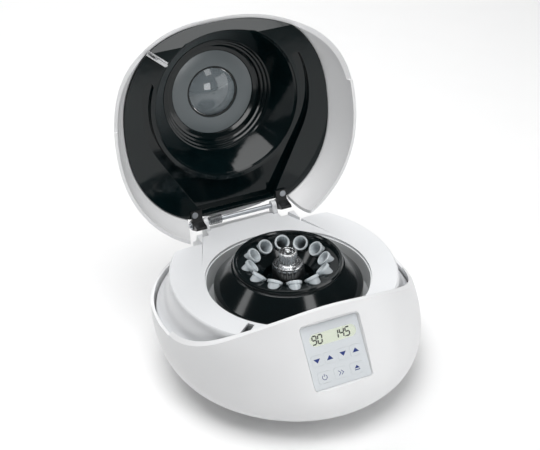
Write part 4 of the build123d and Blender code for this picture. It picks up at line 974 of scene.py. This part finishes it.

# %% [markdown]
# ## Floor
# A product picture of a white object needs a pale floor a shade brighter than the object, so
# that the edges read by gentle shading. It is one large sheet, not part of the machine.

# %% Lay the floor
FLOOR_HALF = 6
work = bmesh.new()
bmesh.ops.create_grid(work, x_segments=2, y_segments=2, size=FLOOR_HALF)
floor_mesh = bpy.data.meshes.new("floor")
work.to_mesh(floor_mesh)
work.free()
# Matt card: it takes shadows softly and mirrors nothing.
floor_mesh.materials.append(
    finish(
        "pale_studio_floor",
        moulded("F9F9F9", "F7F7F7", grain_mm=3, grain_depth=0.01, rough=(0.6, 0.7)),
    )
)
floor = bpy.data.objects.new("floor", floor_mesh)
bpy.context.scene.collection.objects.link(floor)
print("floor", 2 * FLOOR_HALF, "m square")

# %% [markdown]
# ## Light
# Large area lights give the soft shadows of a studio, and they are also what the polished
# parts mirror, so their places were found from the bright patches on the lining and on the
# rotor. A lamp at the back lights the floor behind the machine, and the world adds a little
# fill. The Standard view keeps whites white.


# %% Lamps and world
def area(name, place, aim, size, power):
    """A rectangular lamp at a place, turned to a point, with its size in metres and watts."""
    data = bpy.data.lights.new(name, "AREA")
    data.shape = "RECTANGLE"
    data.size, data.size_y = size
    data.energy = power
    lamp = bpy.data.objects.new(name, data)
    lamp.location = place
    direction = Vector(aim) - Vector(place)
    lamp.rotation_euler = direction.to_track_quat("-Z", "Y").to_euler()
    bpy.context.scene.collection.objects.link(lamp)


BODY = (0, 0, 0.1)
area("overhead", (-0.1, -0.05, 1.45), (0, 0, 0), (1.2, 1.2), 17.5)
area("right_softbox", (1.15, -1.05, 0.35), BODY, (0.9, 0.8), 4.5)
area("front_softbox", (0.15, -1.5, 0.4), BODY, (0.4, 0.4), 3)
area("front_strip", (0.29, -0.95, 1.25), BODY, (0.36, 0.8), 3)
area("left_strip", (-1.1, 0.25, 0.95), BODY, (0.26, 0.7), 1.6)
area("back_softbox", (0.0, 1.5, 1.3), (0, 0.6, 0), (2.4, 0.8), 18)
world = bpy.data.worlds.new("studio")
bpy.context.scene.world = world
world.use_nodes = True
fill = world.node_tree.nodes["Background"].inputs
fill["Color"].default_value = (0.98, 0.99, 1.0, 1)
fill["Strength"].default_value = 0.06
bpy.context.scene.view_settings.view_transform = "Standard"
print("lamps", len(bpy.data.lights))

# %% [markdown]
# ## Camera
# The camera stands at the photograph's angle. It was fitted to points on the deck, the
# rotor's rim and the panel, which gave the angles, a focal length in pixels and how far the
# picture's middle lies from the machine's. That last part is made by turning the camera a
# little, after it has been pointed at the machine.

# %% Camera at the photograph's angle
AZIMUTH, ELEVATION, ROLL = (math.radians(v) for v in (-24.0, 35.0, -1.1))
DISTANCE, FOCAL_PIXELS, PIXELS_WIDE = 1.1, 1309.5, 540
TURN_LEFT, TURN_UP = (math.atan(v / FOCAL_PIXELS) for v in (17.3, 50.7))
AIM = Vector((0, AXIS_Y, 0.083))
back = Vector((
    math.sin(AZIMUTH) * math.cos(ELEVATION), -math.cos(AZIMUTH) * math.cos(ELEVATION),
    math.sin(ELEVATION),
))
camera = bpy.data.objects.new("camera", bpy.data.cameras.new("camera"))
camera.data.sensor_width = 36
camera.data.lens = FOCAL_PIXELS * camera.data.sensor_width / PIXELS_WIDE
camera.location = AIM + back * DISTANCE
look = (-back).to_track_quat("-Z", "Y").to_matrix().to_4x4()
aim_off = (
    Matrix.Rotation(TURN_LEFT, 4, "Y") @ Matrix.Rotation(TURN_UP, 4, "X")
    @ Matrix.Rotation(ROLL, 4, "Z")
)
camera.rotation_euler = (look @ aim_off).to_euler()
bpy.context.scene.collection.objects.link(camera)
bpy.context.scene.camera = camera
print("camera at", [round(v, 3) for v in camera.location], "lens", round(camera.data.lens, 1))
